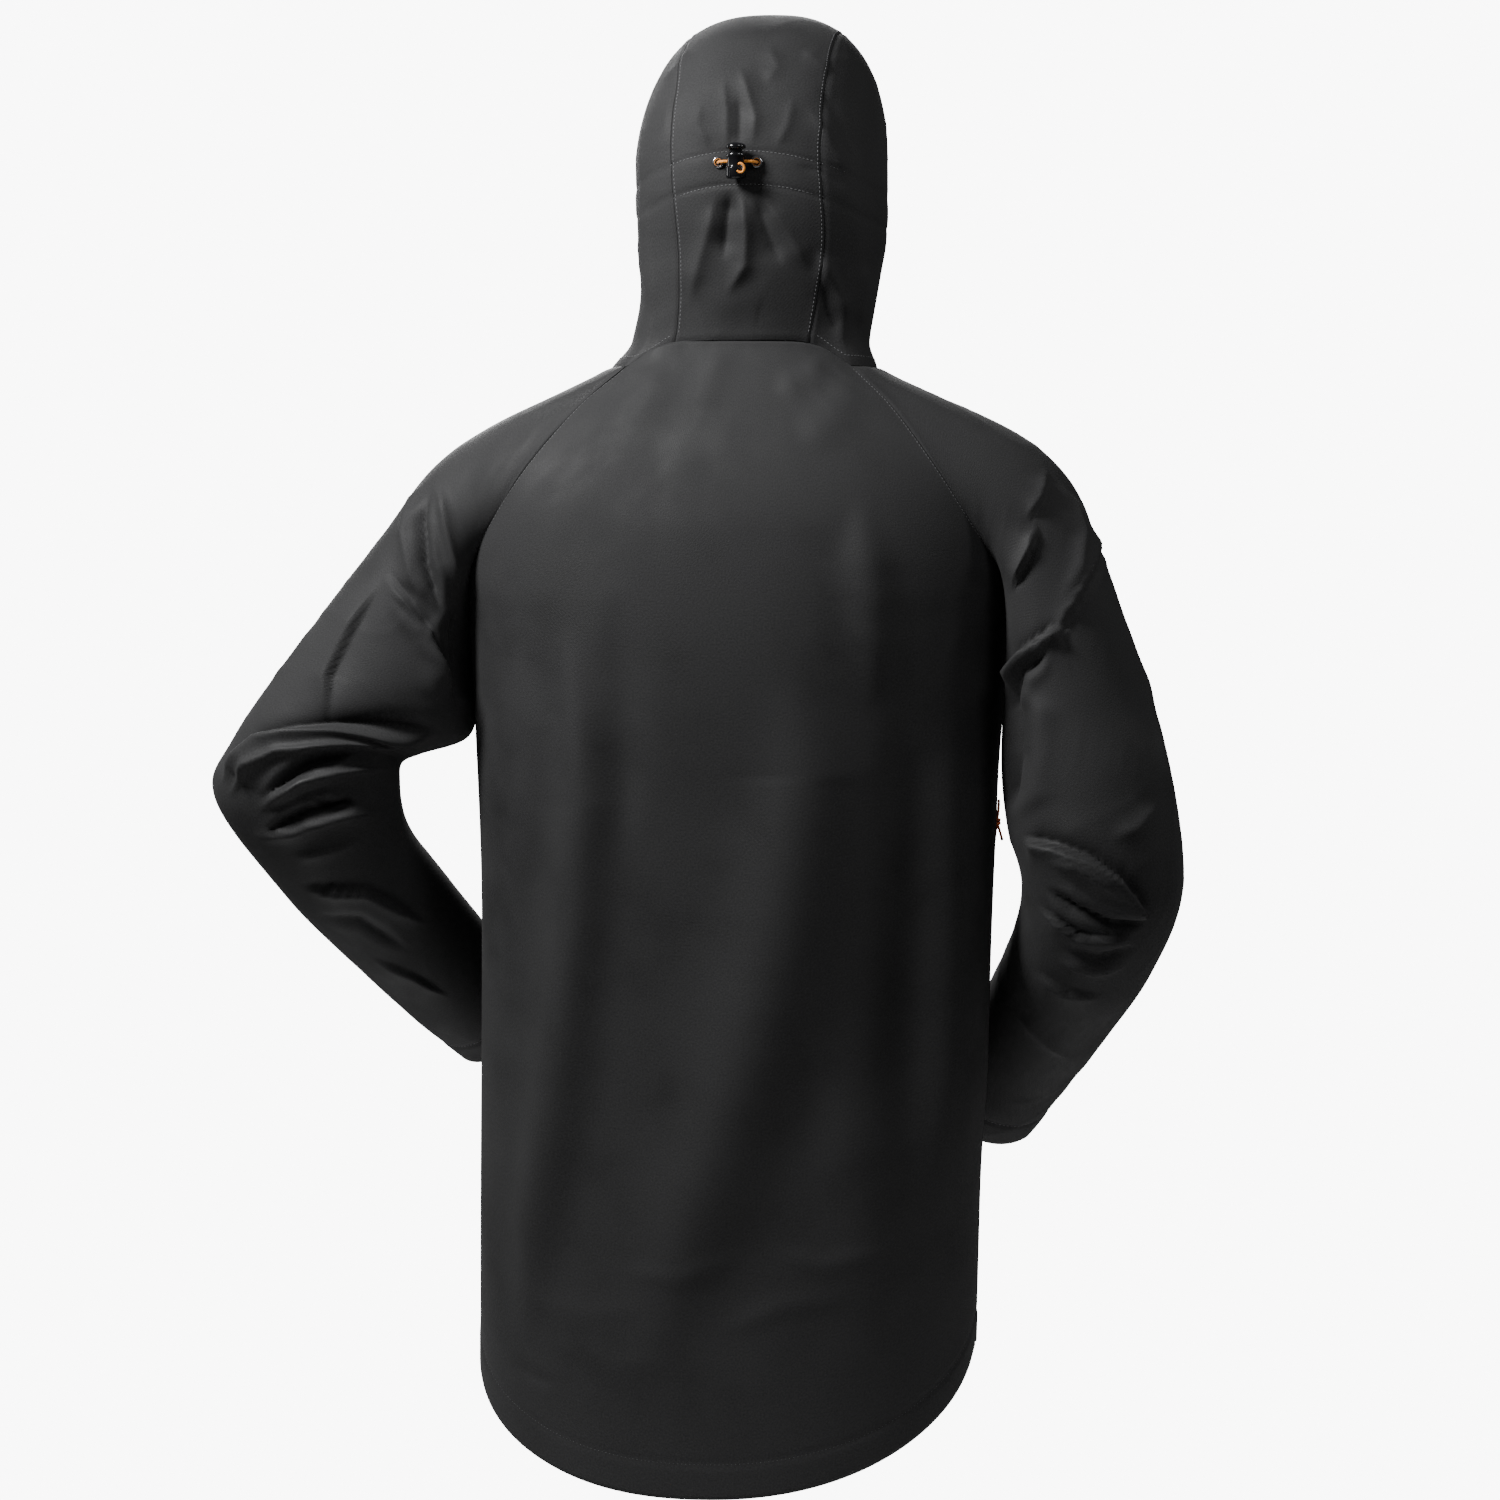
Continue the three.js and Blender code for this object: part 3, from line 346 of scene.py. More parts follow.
def front_surface(side: Side) -> Surface:
    """A front panel: s from its side seam to the zip, t from neck to hem."""

    def surface(s: Array, t: Array) -> Array:
        """Points of the panel."""
        edge = mix(-NECK_SIDE_DROP, FRONT_HEM_Z, t)
        start = math.pi - seam_angle(front_raglan, edge)
        z = mix(neck_front_z(s), FRONT_HEM_Z, t)
        share = (TEETH_WIDTH / 2 + FIT) / half_width(z)
        closed = math.pi - share ** (SQUARENESS / 2)
        return body_point(side.value * mix(start, closed, s), z)

    return surface


# ---------------------------------------------------------------- the sleeves' form
@dataclass(frozen=True)
class ArmRing:
    """One section of a sleeve.

    Args:
        inner: X and Z of the point nearest the body, before mirroring.
        outer: X and Z of the point furthest from it.
        y: How far back the section stands.
        depth: Half the section's size front to back.
    """

    inner: tuple[float, float]
    outer: tuple[float, float]
    y: float
    depth: float


ARM_RINGS = {
    Side.LEFT: (
        ArmRing((220, -204), (228, -82), 5, 62),
        ArmRing((213, -262), (289, -156), 12, 62),
        ArmRing((215, -306), (346, -234), 24, 62),
        ArmRing((261, -320), (398, -312), 36, 61),
        ArmRing((267, -345), (411, -354), 45, 60),
        ArmRing((262, -385), (364, -424), 22, 56),
        ArmRing((238, -428), (325, -478), -30, 50),
        ArmRing((213, -470), (283, -530), -80, 45),
        ArmRing((188, -511), (250, -564), -122, 41),
    ),
    Side.RIGHT: (
        ArmRing((219, -204), (226, -82), 5, 62),
        ArmRing((210, -262), (277, -160), 12, 62),
        ArmRing((206, -325), (317, -273), 25, 62),
        ArmRing((211, -374), (340, -351), 35, 61),
        ArmRing((223, -414), (346, -427), 40, 60),
        ArmRing((218, -445), (320, -490), 8, 56),
        ArmRing((196, -490), (283, -540), -48, 50),
        ArmRing((168, -535), (247, -583), -102, 45),
        ArmRing((142, -580), (213, -624), -152, 41),
    ),
}
ELBOW_T = 5.0
SLEEVE_END = 9.0
SLEEVE_LENGTH = 560.0  # about, from the raglan seam to the cuff; it spaces the grid's lines
LAST_RING_GAP = 66.0  # about, from the last ring but one to the cuff


@dataclass
class SleeveForm:
    """The surface of one sleeve, from the raglan seam (t = 0) to the cuff (t = 9)."""

    side: Side

    def ends(self, index: int) -> tuple[Array, Array]:
        """The inner and outer point of a ring."""
        ring = ARM_RINGS[self.side][index]
        inner = np.array([self.side.value * ring.inner[0], ring.y, ring.inner[1]])
        return inner, np.array([self.side.value * ring.outer[0], ring.y, ring.outer[1]])

    def centre(self, index: int) -> Array:
        """The middle of a ring."""
        inner, outer = self.ends(index)
        return (inner + outer) / 2

    def ring_point(self, index: int, v: Array) -> Array:
        """Points of a ring by share of a turn: 0 inner, a quarter back, a half outer."""
        last = len(ARM_RINGS[self.side]) - 1
        centre = self.centre(index)
        out = self.ends(index)[1] - centre
        axis = unit(self.centre(min(last, index + 1)) - self.centre(max(0, index - 1)))
        back = unit(np.cross(axis, out))
        back = -back if back[1] < 0 else back
        turn = 2 * math.pi * np.asarray(v)[..., None]
        return centre - out * np.cos(turn) + back * ARM_RINGS[self.side][index].depth * np.sin(turn)

    def raglan_loop(self, v: Array) -> Array:
        """The seam from the underarm up the back, across the neck and down the front."""
        half = len(RAGLAN_ROWS) - 1
        around = 2 * len(RAGLAN_ROWS)
        step = v * around
        rows = np.arange(half + 1)
        back_z = np.interp(half - step, rows, RAGLAN_ROWS)
        front_z = np.interp(step - (around - half), rows, RAGLAN_ROWS)
        top = seam_angle(back_raglan, -NECK_SIDE_DROP)
        front = math.pi - seam_angle(front_raglan, -NECK_SIDE_DROP)
        across = mix(top, front, (step - half) / (around - 2 * half))
        angle = np.where(step <= half, seam_angle(back_raglan, back_z), across)
        angle = np.where(step >= around - half, math.pi - seam_angle(front_raglan, front_z), angle)
        z = np.where(step <= half, back_z, -NECK_SIDE_DROP)
        z = np.where(step >= around - half, front_z, z)
        return body_point(self.side.value * angle, z)

    def surface(self, v: Array, t: Array) -> Array:
        """Points of the sleeve by share of a turn and number of rings along."""
        v, t = np.broadcast_arrays(np.asarray(v, float), np.asarray(t, float))
        turn = (self.side.value * v) % 1.0
        start = self.raglan_loop(turn)
        rings = [self.ring_point(i, turn) for i in range(len(ARM_RINGS[self.side]))]
        start = start + 0.15 * body_normal(start)
        points = np.stack([2 * start - rings[0], start, *rings, 2 * rings[-1] - rings[-2]])
        t = np.clip(t, 0, SLEEVE_END)
        i = np.minimum(t.astype(int), int(SLEEVE_END) - 1)
        flat = np.arange(i.size)
        pick = points.reshape(len(points), -1, 3)
        a, b, c, d = (pick[i.ravel() + k, flat].reshape(*i.shape, 3) for k in range(4))
        return cubic(b, 0.5 * (c - a), c, 0.5 * (d - b), (t - i)[..., None])

    def core(self, t: float) -> Array:
        """A point on the sleeve's middle line."""
        ring = self.surface(np.linspace(0, 1, 32, endpoint=False), np.full(32, t))
        return ring.mean(0)


# ---------------------------------------------------------------- the hood's form
hood_radius = through(
    [
        (-90, 215),
        (-63, 222),
        (-45.8, 153.5),
        (-23.7, 124.5),
        (0, 120),
        (28, 127),
        (54.5, 141),
        (77.6, 149.5),
        (90, 151),
        (112, 155),
        (129, 164),
        (142.7, 173),
        (180, 175),
        (220, 175),
        (270, 215),
    ]
)


def hood_lean(z: Array) -> Array:
    """How far the hood's middle leans to -X at a height."""
    return HOOD_MIDDLE[0] * 1.8 * np.clip(np.asarray(z, float) / 240, 0, 1.1)


def crown_point(x: Array, degrees: Array) -> Array:
    """Points of the crown by place across and angle up from straight back."""
    scale = (1 - np.minimum(1, np.abs(x / HOOD_HALF_WIDTH)) ** HOOD_SQUARENESS) ** (1 / HOOD_SQUARENESS)
    k = scale * hood_radius(degrees)
    y = HOOD_MIDDLE[1] + k * np.cos(np.radians(degrees))
    z = HOOD_MIDDLE[2] + k * np.sin(np.radians(degrees))
    return stack(x + hood_lean(z), y, z)


def hood_side_point(side: Side, y: Array, z: Array) -> Array:
    """Points of the hood's side by place seen from the side."""
    dy, dz = y - HOOD_MIDDLE[1], z - HOOD_MIDDLE[2]
    degrees = np.degrees(np.arctan2(dz, dy))
    degrees = np.where(degrees < -90, degrees + 360, degrees)
    g = np.minimum(1, np.hypot(dy, dz) / hood_radius(degrees))
    x = HOOD_HALF_WIDTH * (1 - g**HOOD_SQUARENESS) ** (1 / HOOD_SQUARENESS)
    return stack(side.value * x + hood_lean(z), y, z)


def nape_blend(t: Array) -> Array:
    """How much of the neck seam's shape a row of the hood keeps."""
    return np.maximum(0, 1 - t) ** 6


def row_degrees(t: Array) -> Array:
    """The crown's angle at a share of the way from nape to brim."""
    return mix(NAPE_DEGREES, BRIM_DEGREES, t)


def back_neck_s(phi: Array) -> Array:
    """The back panel's own place across for an angle round the neck."""
    return phi / seam_angle(back_raglan, -NECK_SIDE_DROP)


hood_waist = through(
    [(-20, 1.0), (-8, 0.93), (0, 0.9), (20, 0.91), (60, 0.96), (78, 0.985), (110, 1.0), (300, 1.0)]
)
hood_shift = through([(-20, 0.0), (0, -4.0), (40, -7.5), (78, -8.0), (120, -3.5), (156, 0.0), (300, 0.0)])


def drawn_in(p: Array) -> Array:
    """Points of the hood, narrowed where it goes down to the neck."""
    lean = hood_lean(p[..., 2])
    x = lean + hood_shift(p[..., 2]) + (p[..., 0] - lean) * hood_waist(p[..., 2])
    return stack(x, p[..., 1], p[..., 2])


def crown_surface(s: Array, t: Array) -> Array:
    """The hood's middle panel: s from -1 to 1 across, t from nape to brim."""
    s, t = np.broadcast_arrays(np.asarray(s, float), np.asarray(t, float))
    x = s * HOOD_PANEL_HALF
    phi = np.sign(s) * np.arcsin((np.abs(x) / half_width(0)) ** (SQUARENESS / 2))
    seam = body_point(phi, neck_back_z(back_neck_s(phi)))
    base = crown_point(x, row_degrees(np.zeros_like(t)))
    return drawn_in(crown_point(x, row_degrees(t)) + (seam - base) * nape_blend(t)[..., None])


FACE_EDGE = np.array(
    [
        (5, -102, 22),
        (38, -112, 36),
        (66, -126, 70),
        (80, -138, 106),
        (84, -152, 150),
        (78, -168, 182),
        (64, -180, 200),
    ],
    float,
)


def face_edge(t: Array) -> Array:
    """The face opening's edge from chin to brim, on the +X side."""
    return spline(FACE_EDGE, np.clip(np.asarray(t, float), 0, 1) * (len(FACE_EDGE) - 1))


NAPE_ANGLE = math.asin((HOOD_PANEL_HALF / half_width(0)) ** (SQUARENESS / 2))


def hood_neck_seam(side: Side, s: Array) -> Array:
    """The neck edge of a hood side panel from the middle panel to the chin."""
    back_end = seam_angle(back_raglan, -NECK_SIDE_DROP)
    front_start = math.pi - seam_angle(front_raglan, -NECK_SIDE_DROP)
    share = (TEETH_WIDTH / 2 + FIT) / half_width(COLLAR_RISE)
    last = math.pi - share ** (SQUARENESS / 2)
    phi = mix(NAPE_ANGLE, last, s)
    z = np.where(phi < back_end, neck_back_z(np.minimum(1, back_neck_s(phi))), -NECK_SIDE_DROP)
    forward = np.clip((phi - front_start) / (last - front_start), 0, 1)
    z = np.where(phi > front_start, neck_front_z(forward), z)
    return body_point(side.value * phi, z)


def hood_side_surface(side: Side) -> Surface:
    """A hood side panel: s from the middle panel to the face, t from neck to brim."""

    def surface(s: Array, t: Array) -> Array:
        """Points of the panel."""
        s, t = np.broadcast_arrays(np.asarray(s, float), np.asarray(t, float))
        keep = (s**3)[..., None]

        def row(at: Array) -> Array:
            """The side panel's points at these shares of the way up."""
            crown = crown_point(np.full_like(at, HOOD_PANEL_HALF), row_degrees(at))
            face = face_edge(at)
            face[..., 0] = side.value * face[..., 0] + hood_lean(face[..., 2])
            y, z = mix(crown[..., 1], face[..., 1], s), mix(crown[..., 2], face[..., 2], s)
            end = hood_side_point(side, face[..., 1], face[..., 2])
            return hood_side_point(side, y, z) + (face - end) * keep

        base = row(np.zeros_like(t))
        return drawn_in(row(t) + (hood_neck_seam(side, s) - base) * nape_blend(t)[..., None])

    return surface


def hood_back_point(x: Array, z: Array) -> Array:
    """Points on the back of the hood at places across and heights."""
    x, z = np.broadcast_arrays(np.asarray(x, float), np.asarray(z, float))
    low, high = np.full(x.shape, NAPE_DEGREES), np.full(x.shape, 80.0)
    for _ in range(30):
        middle = (low + high) / 2
        below = crown_point(x, middle)[..., 2] < z
        low, high = np.where(below, middle, low), np.where(below, high, middle)
    return crown_point(x, (low + high) / 2)


# ---------------------------------------------------------------- folds
class FoldShape(Enum):
    """How a fold's surface rises across its line."""

    RIDGE = "ridge"
    CREASE = "crease"
    LIP = "lip"
    PINCH = "pinch"


@dataclass(frozen=True)
class Fold:
    """One fold of the fabric, seen square-on from behind.

    Args:
        line: Places (across, up) on the fold's line, across towards the wearer's left.
        width: How far the fold reaches from its line.
        height: How far it lifts the fabric; a crease sinks it.
        shape: How it rises; a lip stands up on the left of the line's direction.
        blunt: Share of the length over which each end fades.
    """

    line: tuple[tuple[float, float], ...]
    width: float
    height: float
    shape: FoldShape = FoldShape.RIDGE
    blunt: float = 0.35

    def lift(self, u: Array, z: Array) -> Array:
        """How far the fold moves the fabric at places in the plane seen from behind."""
        points = np.array(self.line, float)
        seg = points[1:] - points[:-1]
        length = np.linalg.norm(seg, axis=1)
        total = length.sum()
        start = np.concatenate([[0], np.cumsum(length)[:-1]])
        best = np.full(u.shape, 1e9)
        side = np.ones(u.shape)
        along = np.zeros(u.shape)
        for a, d, n, s0 in zip(points, seg, length, start):
            du, dz = u - a[0], z - a[1]
            w = np.clip((du * d[0] + dz * d[1]) / (n * n), 0, 1)
            off = np.hypot(du - w * d[0], dz - w * d[1])
            near = off < best
            best = np.where(near, off, best)
            cross = d[0] * dz - d[1] * du
            side = np.where(near, np.where(cross >= 0, 1.0, -1.0), side)
            along = np.where(near, (s0 + w * n) / total, along)
        fade = smooth(0, self.blunt, along) * smooth(0, self.blunt, 1 - along)
        width = self.width * (0.45 + 0.55 * fade)
        r = best / width
        if self.shape is FoldShape.RIDGE:
            profile = np.exp(-r * r)
        elif self.shape is FoldShape.PINCH:
            profile = np.exp(-1.5 * (np.sqrt(r * r + 0.03) - 0.17))
        elif self.shape is FoldShape.CREASE:
            profile = -np.exp(-1.4 * r) + 0.35 * np.exp(-((r - 1.6) ** 2))
        else:
            near_side = np.exp(-0.9 * r) * (1 - np.exp(-6 * r)) * 1.4
            far_side = -0.5 * np.exp(-1.8 * r)
            profile = np.where(side > 0, near_side, far_side * smooth(0, 0.25, r))
        return self.height * profile * fade


R, C, L, P = FoldShape.RIDGE, FoldShape.CREASE, FoldShape.LIP, FoldShape.PINCH

BACK_FOLDS = (
    Fold(
        ((142, -200), (128, -290), (122, -360), (127, -450), (140, -560), (160, -700), (172, -800)),
        21,
        12,
        R,
        0.3,
    ),
    Fold(((180, -230), (165, -300), (168, -380), (176, -440)), 15, 3.5, R),
    Fold(((100, -190), (92, -270), (92, -400)), 16, -3, R),
    Fold(((-30, -240), (-48, -340), (-30, -460), (10, -600), (52, -720), (80, -820)), 38, 10.5, R, 0.3),
    Fold(((-88, -120), (-98, -200), (-102, -290)), 17, 5, R),
    Fold(((-160, -240), (-164, -400), (-160, -560), (-158, -700)), 22, 8, R, 0.3),
    Fold(((-120, -250), (-128, -400), (-124, -560), (-128, -680)), 20, -4, R, 0.3),
    Fold(((-70, -560), (-92, -680), (-110, -780)), 28, 4, R),
    Fold(((60, -12), (72, -40), (88, -80)), 14, 2.2, R),
    Fold(((10, -4), (24, -24), (34, -60)), 12, 1.6, R),
    Fold(((-60, -10), (-52, -30), (-20, -42)), 10, 1.8, R),
    Fold(((-82, -24), (-70, -60), (-40, -90)), 16, 1.8, R),
    Fold(((190, -720), (160, -744), (120, -752), (60, -742)), 9, 0.7, R),
    Fold(((150, -770), (100, -790), (40, -784)), 8, 0.6, R),
    Fold(((20, -764), (-30, -742), (-80, -738)), 9, 1.2, R),
    Fold(((100, -716), (50, -722), (0, -704)), 8, 1.0, R),
    Fold(((-20, -700), (-60, -712), (-110, -700)), 8, 1.0, R),
    Fold(((180, -786), (164, -800), (140, -808)), 6, 1.2, C),
)

LEFT_FOLDS = (
    Fold(((244, -116), (250, -140), (247, -172), (234, -212)), 4.5, 5, C, 0.3),
    Fold(((244, -108), (234, -124), (229, -156), (222, -200)), 6, 4, P, 0.3),
    Fold(((248, -106), (259, -124), (264, -150), (258, -184), (244, -212)), 6, 4, P, 0.3),
    Fold(((280, -180), (262, -200), (244, -226), (232, -256), (224, -284)), 9, 6.5, L, 0.25),
    Fold(((276, -196), (250, -222), (234, -256)), 5, 2.5, C),
    Fold(((280, -184), (304, -225), (322, -262), (324, -300)), 11, 3.5, L, 0.35),
    Fold(((226, -205), (222, -250), (224, -290)), 10, 6, C, 0.25),
    Fold(
        ((408, -344), (401, -330), (376, -308), (354, -302), (320, -299), (268, -301), (236, -302)),
        12,
        8.5,
        L,
        0.16,
    ),
    Fold(((402, -356), (384, -334), (360, -322), (310, -316), (270, -315)), 5.5, 5, P, 0.25),
    Fold(((376, -356), (334, -328), (296, -317)), 5, 4.5, C, 0.3),
    Fold(((380, -366), (344, -344), (310, -336), (274, -332)), 5.5, 5, P, 0.3),
    Fold(((336, -352), (320, -362), (308, -357), (311, -348)), 3.5, 3, C, 0.25),
    Fold(((376, -384), (340, -366), (290, -356)), 5, 5, C, 0.3),
    Fold(((386, -386), (352, -382), (314, -370), (278, -366)), 6.5, 4, P, 0.3),
    Fold(((356, -404), (320, -396), (290, -384)), 5, 2.4, P, 0.4),
    Fold(((348, -424), (296, -426), (248, -456)), 8, 5, L, 0.3),
    Fold(((336, -446), (300, -450), (262, -478)), 5, 2.2, C, 0.35),
    Fold(((296, -480), (262, -496), (232, -516)), 6, 2.2, L, 0.35),
    Fold(((396, -286), (372, -262), (344, -252)), 9, 2.0, P, 0.4),
    Fold(((330, -214), (352, -246), (372, -262)), 8, 1.6, P, 0.4),
)

RIGHT_FOLDS = (
    Fold(((-236, -101), (-230, -122), (-216, -142)), 4.5, 3.4, L, 0.35),
    Fold(((-227, -142), (-218, -168), (-206, -196)), 4.5, 4.0, L, 0.3),
    Fold(
        ((-246, -97), (-268, -121), (-275, -144), (-271, -172), (-258, -199), (-244, -220), (-226, -246)),
        5.5,
        3.8,
        L,
        0.3,
    ),
    Fold(((-256, -98), (-274, -118), (-282, -146), (-276, -178), (-264, -206)), 6, 2.2, P, 0.35),
    Fold(((-238, -108), (-254, -128), (-260, -150), (-256, -178), (-240, -206)), 6, 3.2, P, 0.35),
    Fold(((-196, -268), (-214, -240), (-238, -224), (-252, -221)), 7, 5.5, L, 0.25),
    Fold(((-200, -290), (-214, -258), (-236, -240)), 5, 4, C, 0.3),
    Fold(((-290, -199), (-303, -250), (-313, -296)), 5, 2.4, P, 0.35),
    Fold(((-297, -226), (-316, -300), (-327, -356), (-330, -392)), 5, 2.8, P, 0.35),
    Fold(((-205, -262), (-206, -320), (-200, -372)), 12, 7, C, 0.25),
    Fold(((-214, -384), (-240, -390), (-266, -400), (-288, -416), (-311, -446)), 9, 8, L, 0.12),
    Fold(((-232, -400), (-262, -410), (-290, -430)), 5, 4, P, 0.3),
    Fold(((-230, -420), (-252, -436), (-280, -448), (-311, -447)), 5, 5, C, 0.25),
    Fold(((-224, -434), (-256, -456), (-304, -460)), 6, 4.5, L, 0.3),
    Fold(((-242, -466), (-272, -474), (-302, -466)), 5, 3.2, C, 0.3),
    Fold(((-238, -476), (-268, -486), (-296, -480)), 5.5, 2.6, P, 0.35),
    Fold(((-222, -486), (-250, -502), (-280, -506)), 7, 2.6, L, 0.35),
    Fold(((-210, -520), (-238, -546), (-258, -562)), 6, 2.0, P, 0.35),
    Fold(((-322, -352), (-300, -376), (-276, -386)), 9, 2.2, P, 0.4),
)

HOOD_FOLDS = (
    Fold(((13, 146), (13, 176), (16, 204)), 5, 2.6, P, 0.3),
    Fold(((-6, 148), (-9, 172), (-2, 196), (4, 214)), 6, 2.4, P, 0.3),
    Fold(((26, 146), (36, 168), (32, 186)), 5, 2.0, P, 0.3),
    Fold(((4, 148), (3, 170), (4, 190)), 5, -2.2, P, 0.3),
    Fold(((-24, 146), (-34, 166), (-38, 190)), 6, 1.6, P, 0.3),
    Fold(((22, 112), (26, 88), (34, 60), (42, 28)), 10, 3.4, P, 0.3),
    Fold(((10, 116), (13, 92), (16, 60)), 8, -4.5, P, 0.3),
    Fold(((2, 116), (-2, 84), (-1, 58), (14, 34)), 9, 5, P, 0.3),
    Fold(((-10, 112), (-18, 84), (-30, 56)), 8, -3, P, 0.3),
    Fold(((-14, 110), (-34, 84), (-52, 52)), 9, 2.6, P, 0.3),
    Fold(((46, 40), (14, 32), (-14, 36), (-38, 22)), 16, 1.6, R, 0.45),
    Fold(((56, 196), (60, 168), (68, 140)), 8, 1.6, P, 0.3),
    Fold(((-48, 182), (-66, 152), (-82, 122)), 8, 2.4, P, 0.3),
    Fold(((-56, 200), (-74, 172), (-90, 134)), 7, -2, P, 0.3),
    Fold(((-56, 70), (-70, 42), (-82, 14)), 7, 3.4, P, 0.3),
    Fold(((-94, 64), (-91, 36), (-88, 8)), 5, 2.6, P, 0.3),
    Fold(((-58, 48), (-64, 24), (-74, 0)), 5, -2.6, P, 0.3),
    Fold(((84, 120), (78, 96), (76, 60), (70, 20)), 8, 2.6, P, 0.3),
    Fold(((88, 88), (82, 74), (82, 50)), 5, 2.2, P, 0.3),
    Fold(((42, 232), (50, 214), (64, 206)), 7, 1.8, P, 0.3),
    Fold(((-44, 226), (-60, 214), (-70, 210)), 6, 2, P, 0.3),
    Fold(((-18, 232), (-26, 212), (-16, 196)), 9, 1.8, P, 0.3),
    Fold(((38, 222), (10, 200), (-20, 196)), 16, 1.6, R, 0.3),
    Fold(((-36, 134), (-60, 130), (-84, 116)), 5, -1.2, P, 0.3),
)


@dataclass
class Relief:
    """What a piece of fabric's folds do to its surface.

    Args:
        folds: The folds seen from behind.
        ripple: Height of the soft unevenness.
        scale: Its size across and up.
        seed: Its place in the noise.
        reach: How far round to the front the folds go, from -1 to 1.
        strength: What the folds' heights are multiplied by.
        wrinkle: Height of the fine wrinkles.
    """

    folds: tuple[Fold, ...] = ()
    ripple: float = 1.0
    scale: tuple[float, float] = (60.0, 110.0)
    seed: float = 0.0
    reach: float = -0.3
    strength: float = 1.0
    wrinkle: float = 0.0

    def lift(self, p: Array, n: Array) -> Array:
        """The height of the relief at points with these outward directions."""
        u, z = p @ ACROSS, p[..., 2]
        facing = smooth(self.reach, self.reach + 0.35, n @ BACKWARD)
        total = np.zeros(u.shape)
        for fold in self.folds:
            total += fold.lift(u, z)
        total *= facing * self.strength
        return total + self.ripple * self._noise(p) + self.wrinkle * self._wrinkles(p)

    def _wrinkles(self, p: Array) -> Array:
        """Fine sharp wrinkles that come and go over the fabric."""
        rng = np.random.default_rng(int(self.seed * 10) + 77)
        total = np.zeros(p.shape[:-1])
        for size in (1.0, 1.7, 2.6):
            k = rng.normal(size=3) * np.array([1.2, 1.2, 1.0]) * size / 26.0
            bend, cover = rng.normal(size=3) / 38.0, rng.normal(size=3) * size / 60.0
            phase = rng.uniform(0, 6.28, 3)
            wave = p @ k + 1.7 * np.sin(p @ bend + phase[0]) + phase[1]
            crest = (1 - np.abs(np.sin(wave))) ** 3
            total += crest * smooth(0.15, 0.9, np.sin(p @ cover + phase[2])) / size
        return total

    def _noise(self, p: Array) -> Array:
        """Soft unevenness made of a few turned and bent waves."""
        rng = np.random.default_rng(int(self.seed * 10) + 5)
        x, y, z = p[..., 0] / self.scale[0], p[..., 1] / self.scale[0], p[..., 2] / self.scale[1]
        total = np.zeros(x.shape)
        for size in (1.0, 1.0, 1.8, 1.8, 3.1, 3.1):
            k = rng.normal(size=3) * size
            bend = rng.normal(size=3) * size * 0.6
            phase = rng.uniform(0, 6.28, 2)
            inner = 1.4 * np.sin(bend[0] * x + bend[1] * y + bend[2] * z + phase[0])
            total += np.sin(k[0] * x + k[1] * y + k[2] * z + inner + phase[1]) / size
        return total / 2.6


# ---------------------------------------------------------------- meshes
@dataclass
class Track:
    """The grid lines of a sheet in one direction.

    Args:
        at: The surface's own parameter of each line.
        lift: How far each line stands out from the surface.
    """

    at: Array
    lift: Array

    @staticmethod
    def even(low: float, high: float, steps: int) -> "Track":
        """Evenly spaced lines."""
        return Track(np.linspace(low, high, steps + 1), np.zeros(steps + 1))

    @staticmethod
    def seamed(
        low: float,
        high: float,
        length: float,
        pitch: float,
        ends: tuple[bool, bool] = (True, True),
        sink: float = 1.6,
    ) -> "Track":
        """Lines that crowd towards sewn ends, where the fabric turns in.

        Args:
            low: The parameter at the start.
            high: The parameter at the end.
            length: The distance from start to end.
            pitch: The distance between lines away from the ends.
            ends: Which ends are sewn.
            sink: How far a sewn edge turns in.

        Returns:
            The track.
        """
        near = np.array([0, 0.5, 1.0, 1.6, 2.4, 3.6, 5.2])
        left = near if ends[0] else np.array([0.0])
        right = length - near[::-1] if ends[1] else np.array([length])
        steps = max(2, int(round((right[0] - left[-1]) / pitch)))
        inner = np.linspace(left[-1], right[0], steps + 1)[1:-1]
        d = np.concatenate([left, inner, right])
        lift = np.zeros(len(d))
        for sewn, off in ((ends[0], d), (ends[1], length - d)):
            if sewn:
                lift += -sink * np.exp(-((off / 1.25) ** 2)) + 0.25 * np.exp(-(((off - 3.4) / 1.7) ** 2))
        return Track(mix(low, high, d / length), lift)

    def turned_up(self, share: float, lines: int = 4, sink: float = 1.5) -> "Track":
        """The same track with a hem turned up inside at its high end.

        Args:
            share: The hem's depth in the track's parameter.
            lines: How many grid lines the turn-up has.
            sink: How far inside it lies.

        Returns:
            The longer track.
        """
        end = self.at[-1]
        back = end - share * np.linspace(0.02, 1, lines)
        return Track(
            np.concatenate([self.at, [end], back]),
            np.concatenate([self.lift, [-sink * 0.6], np.full(lines, -sink)]),
        )


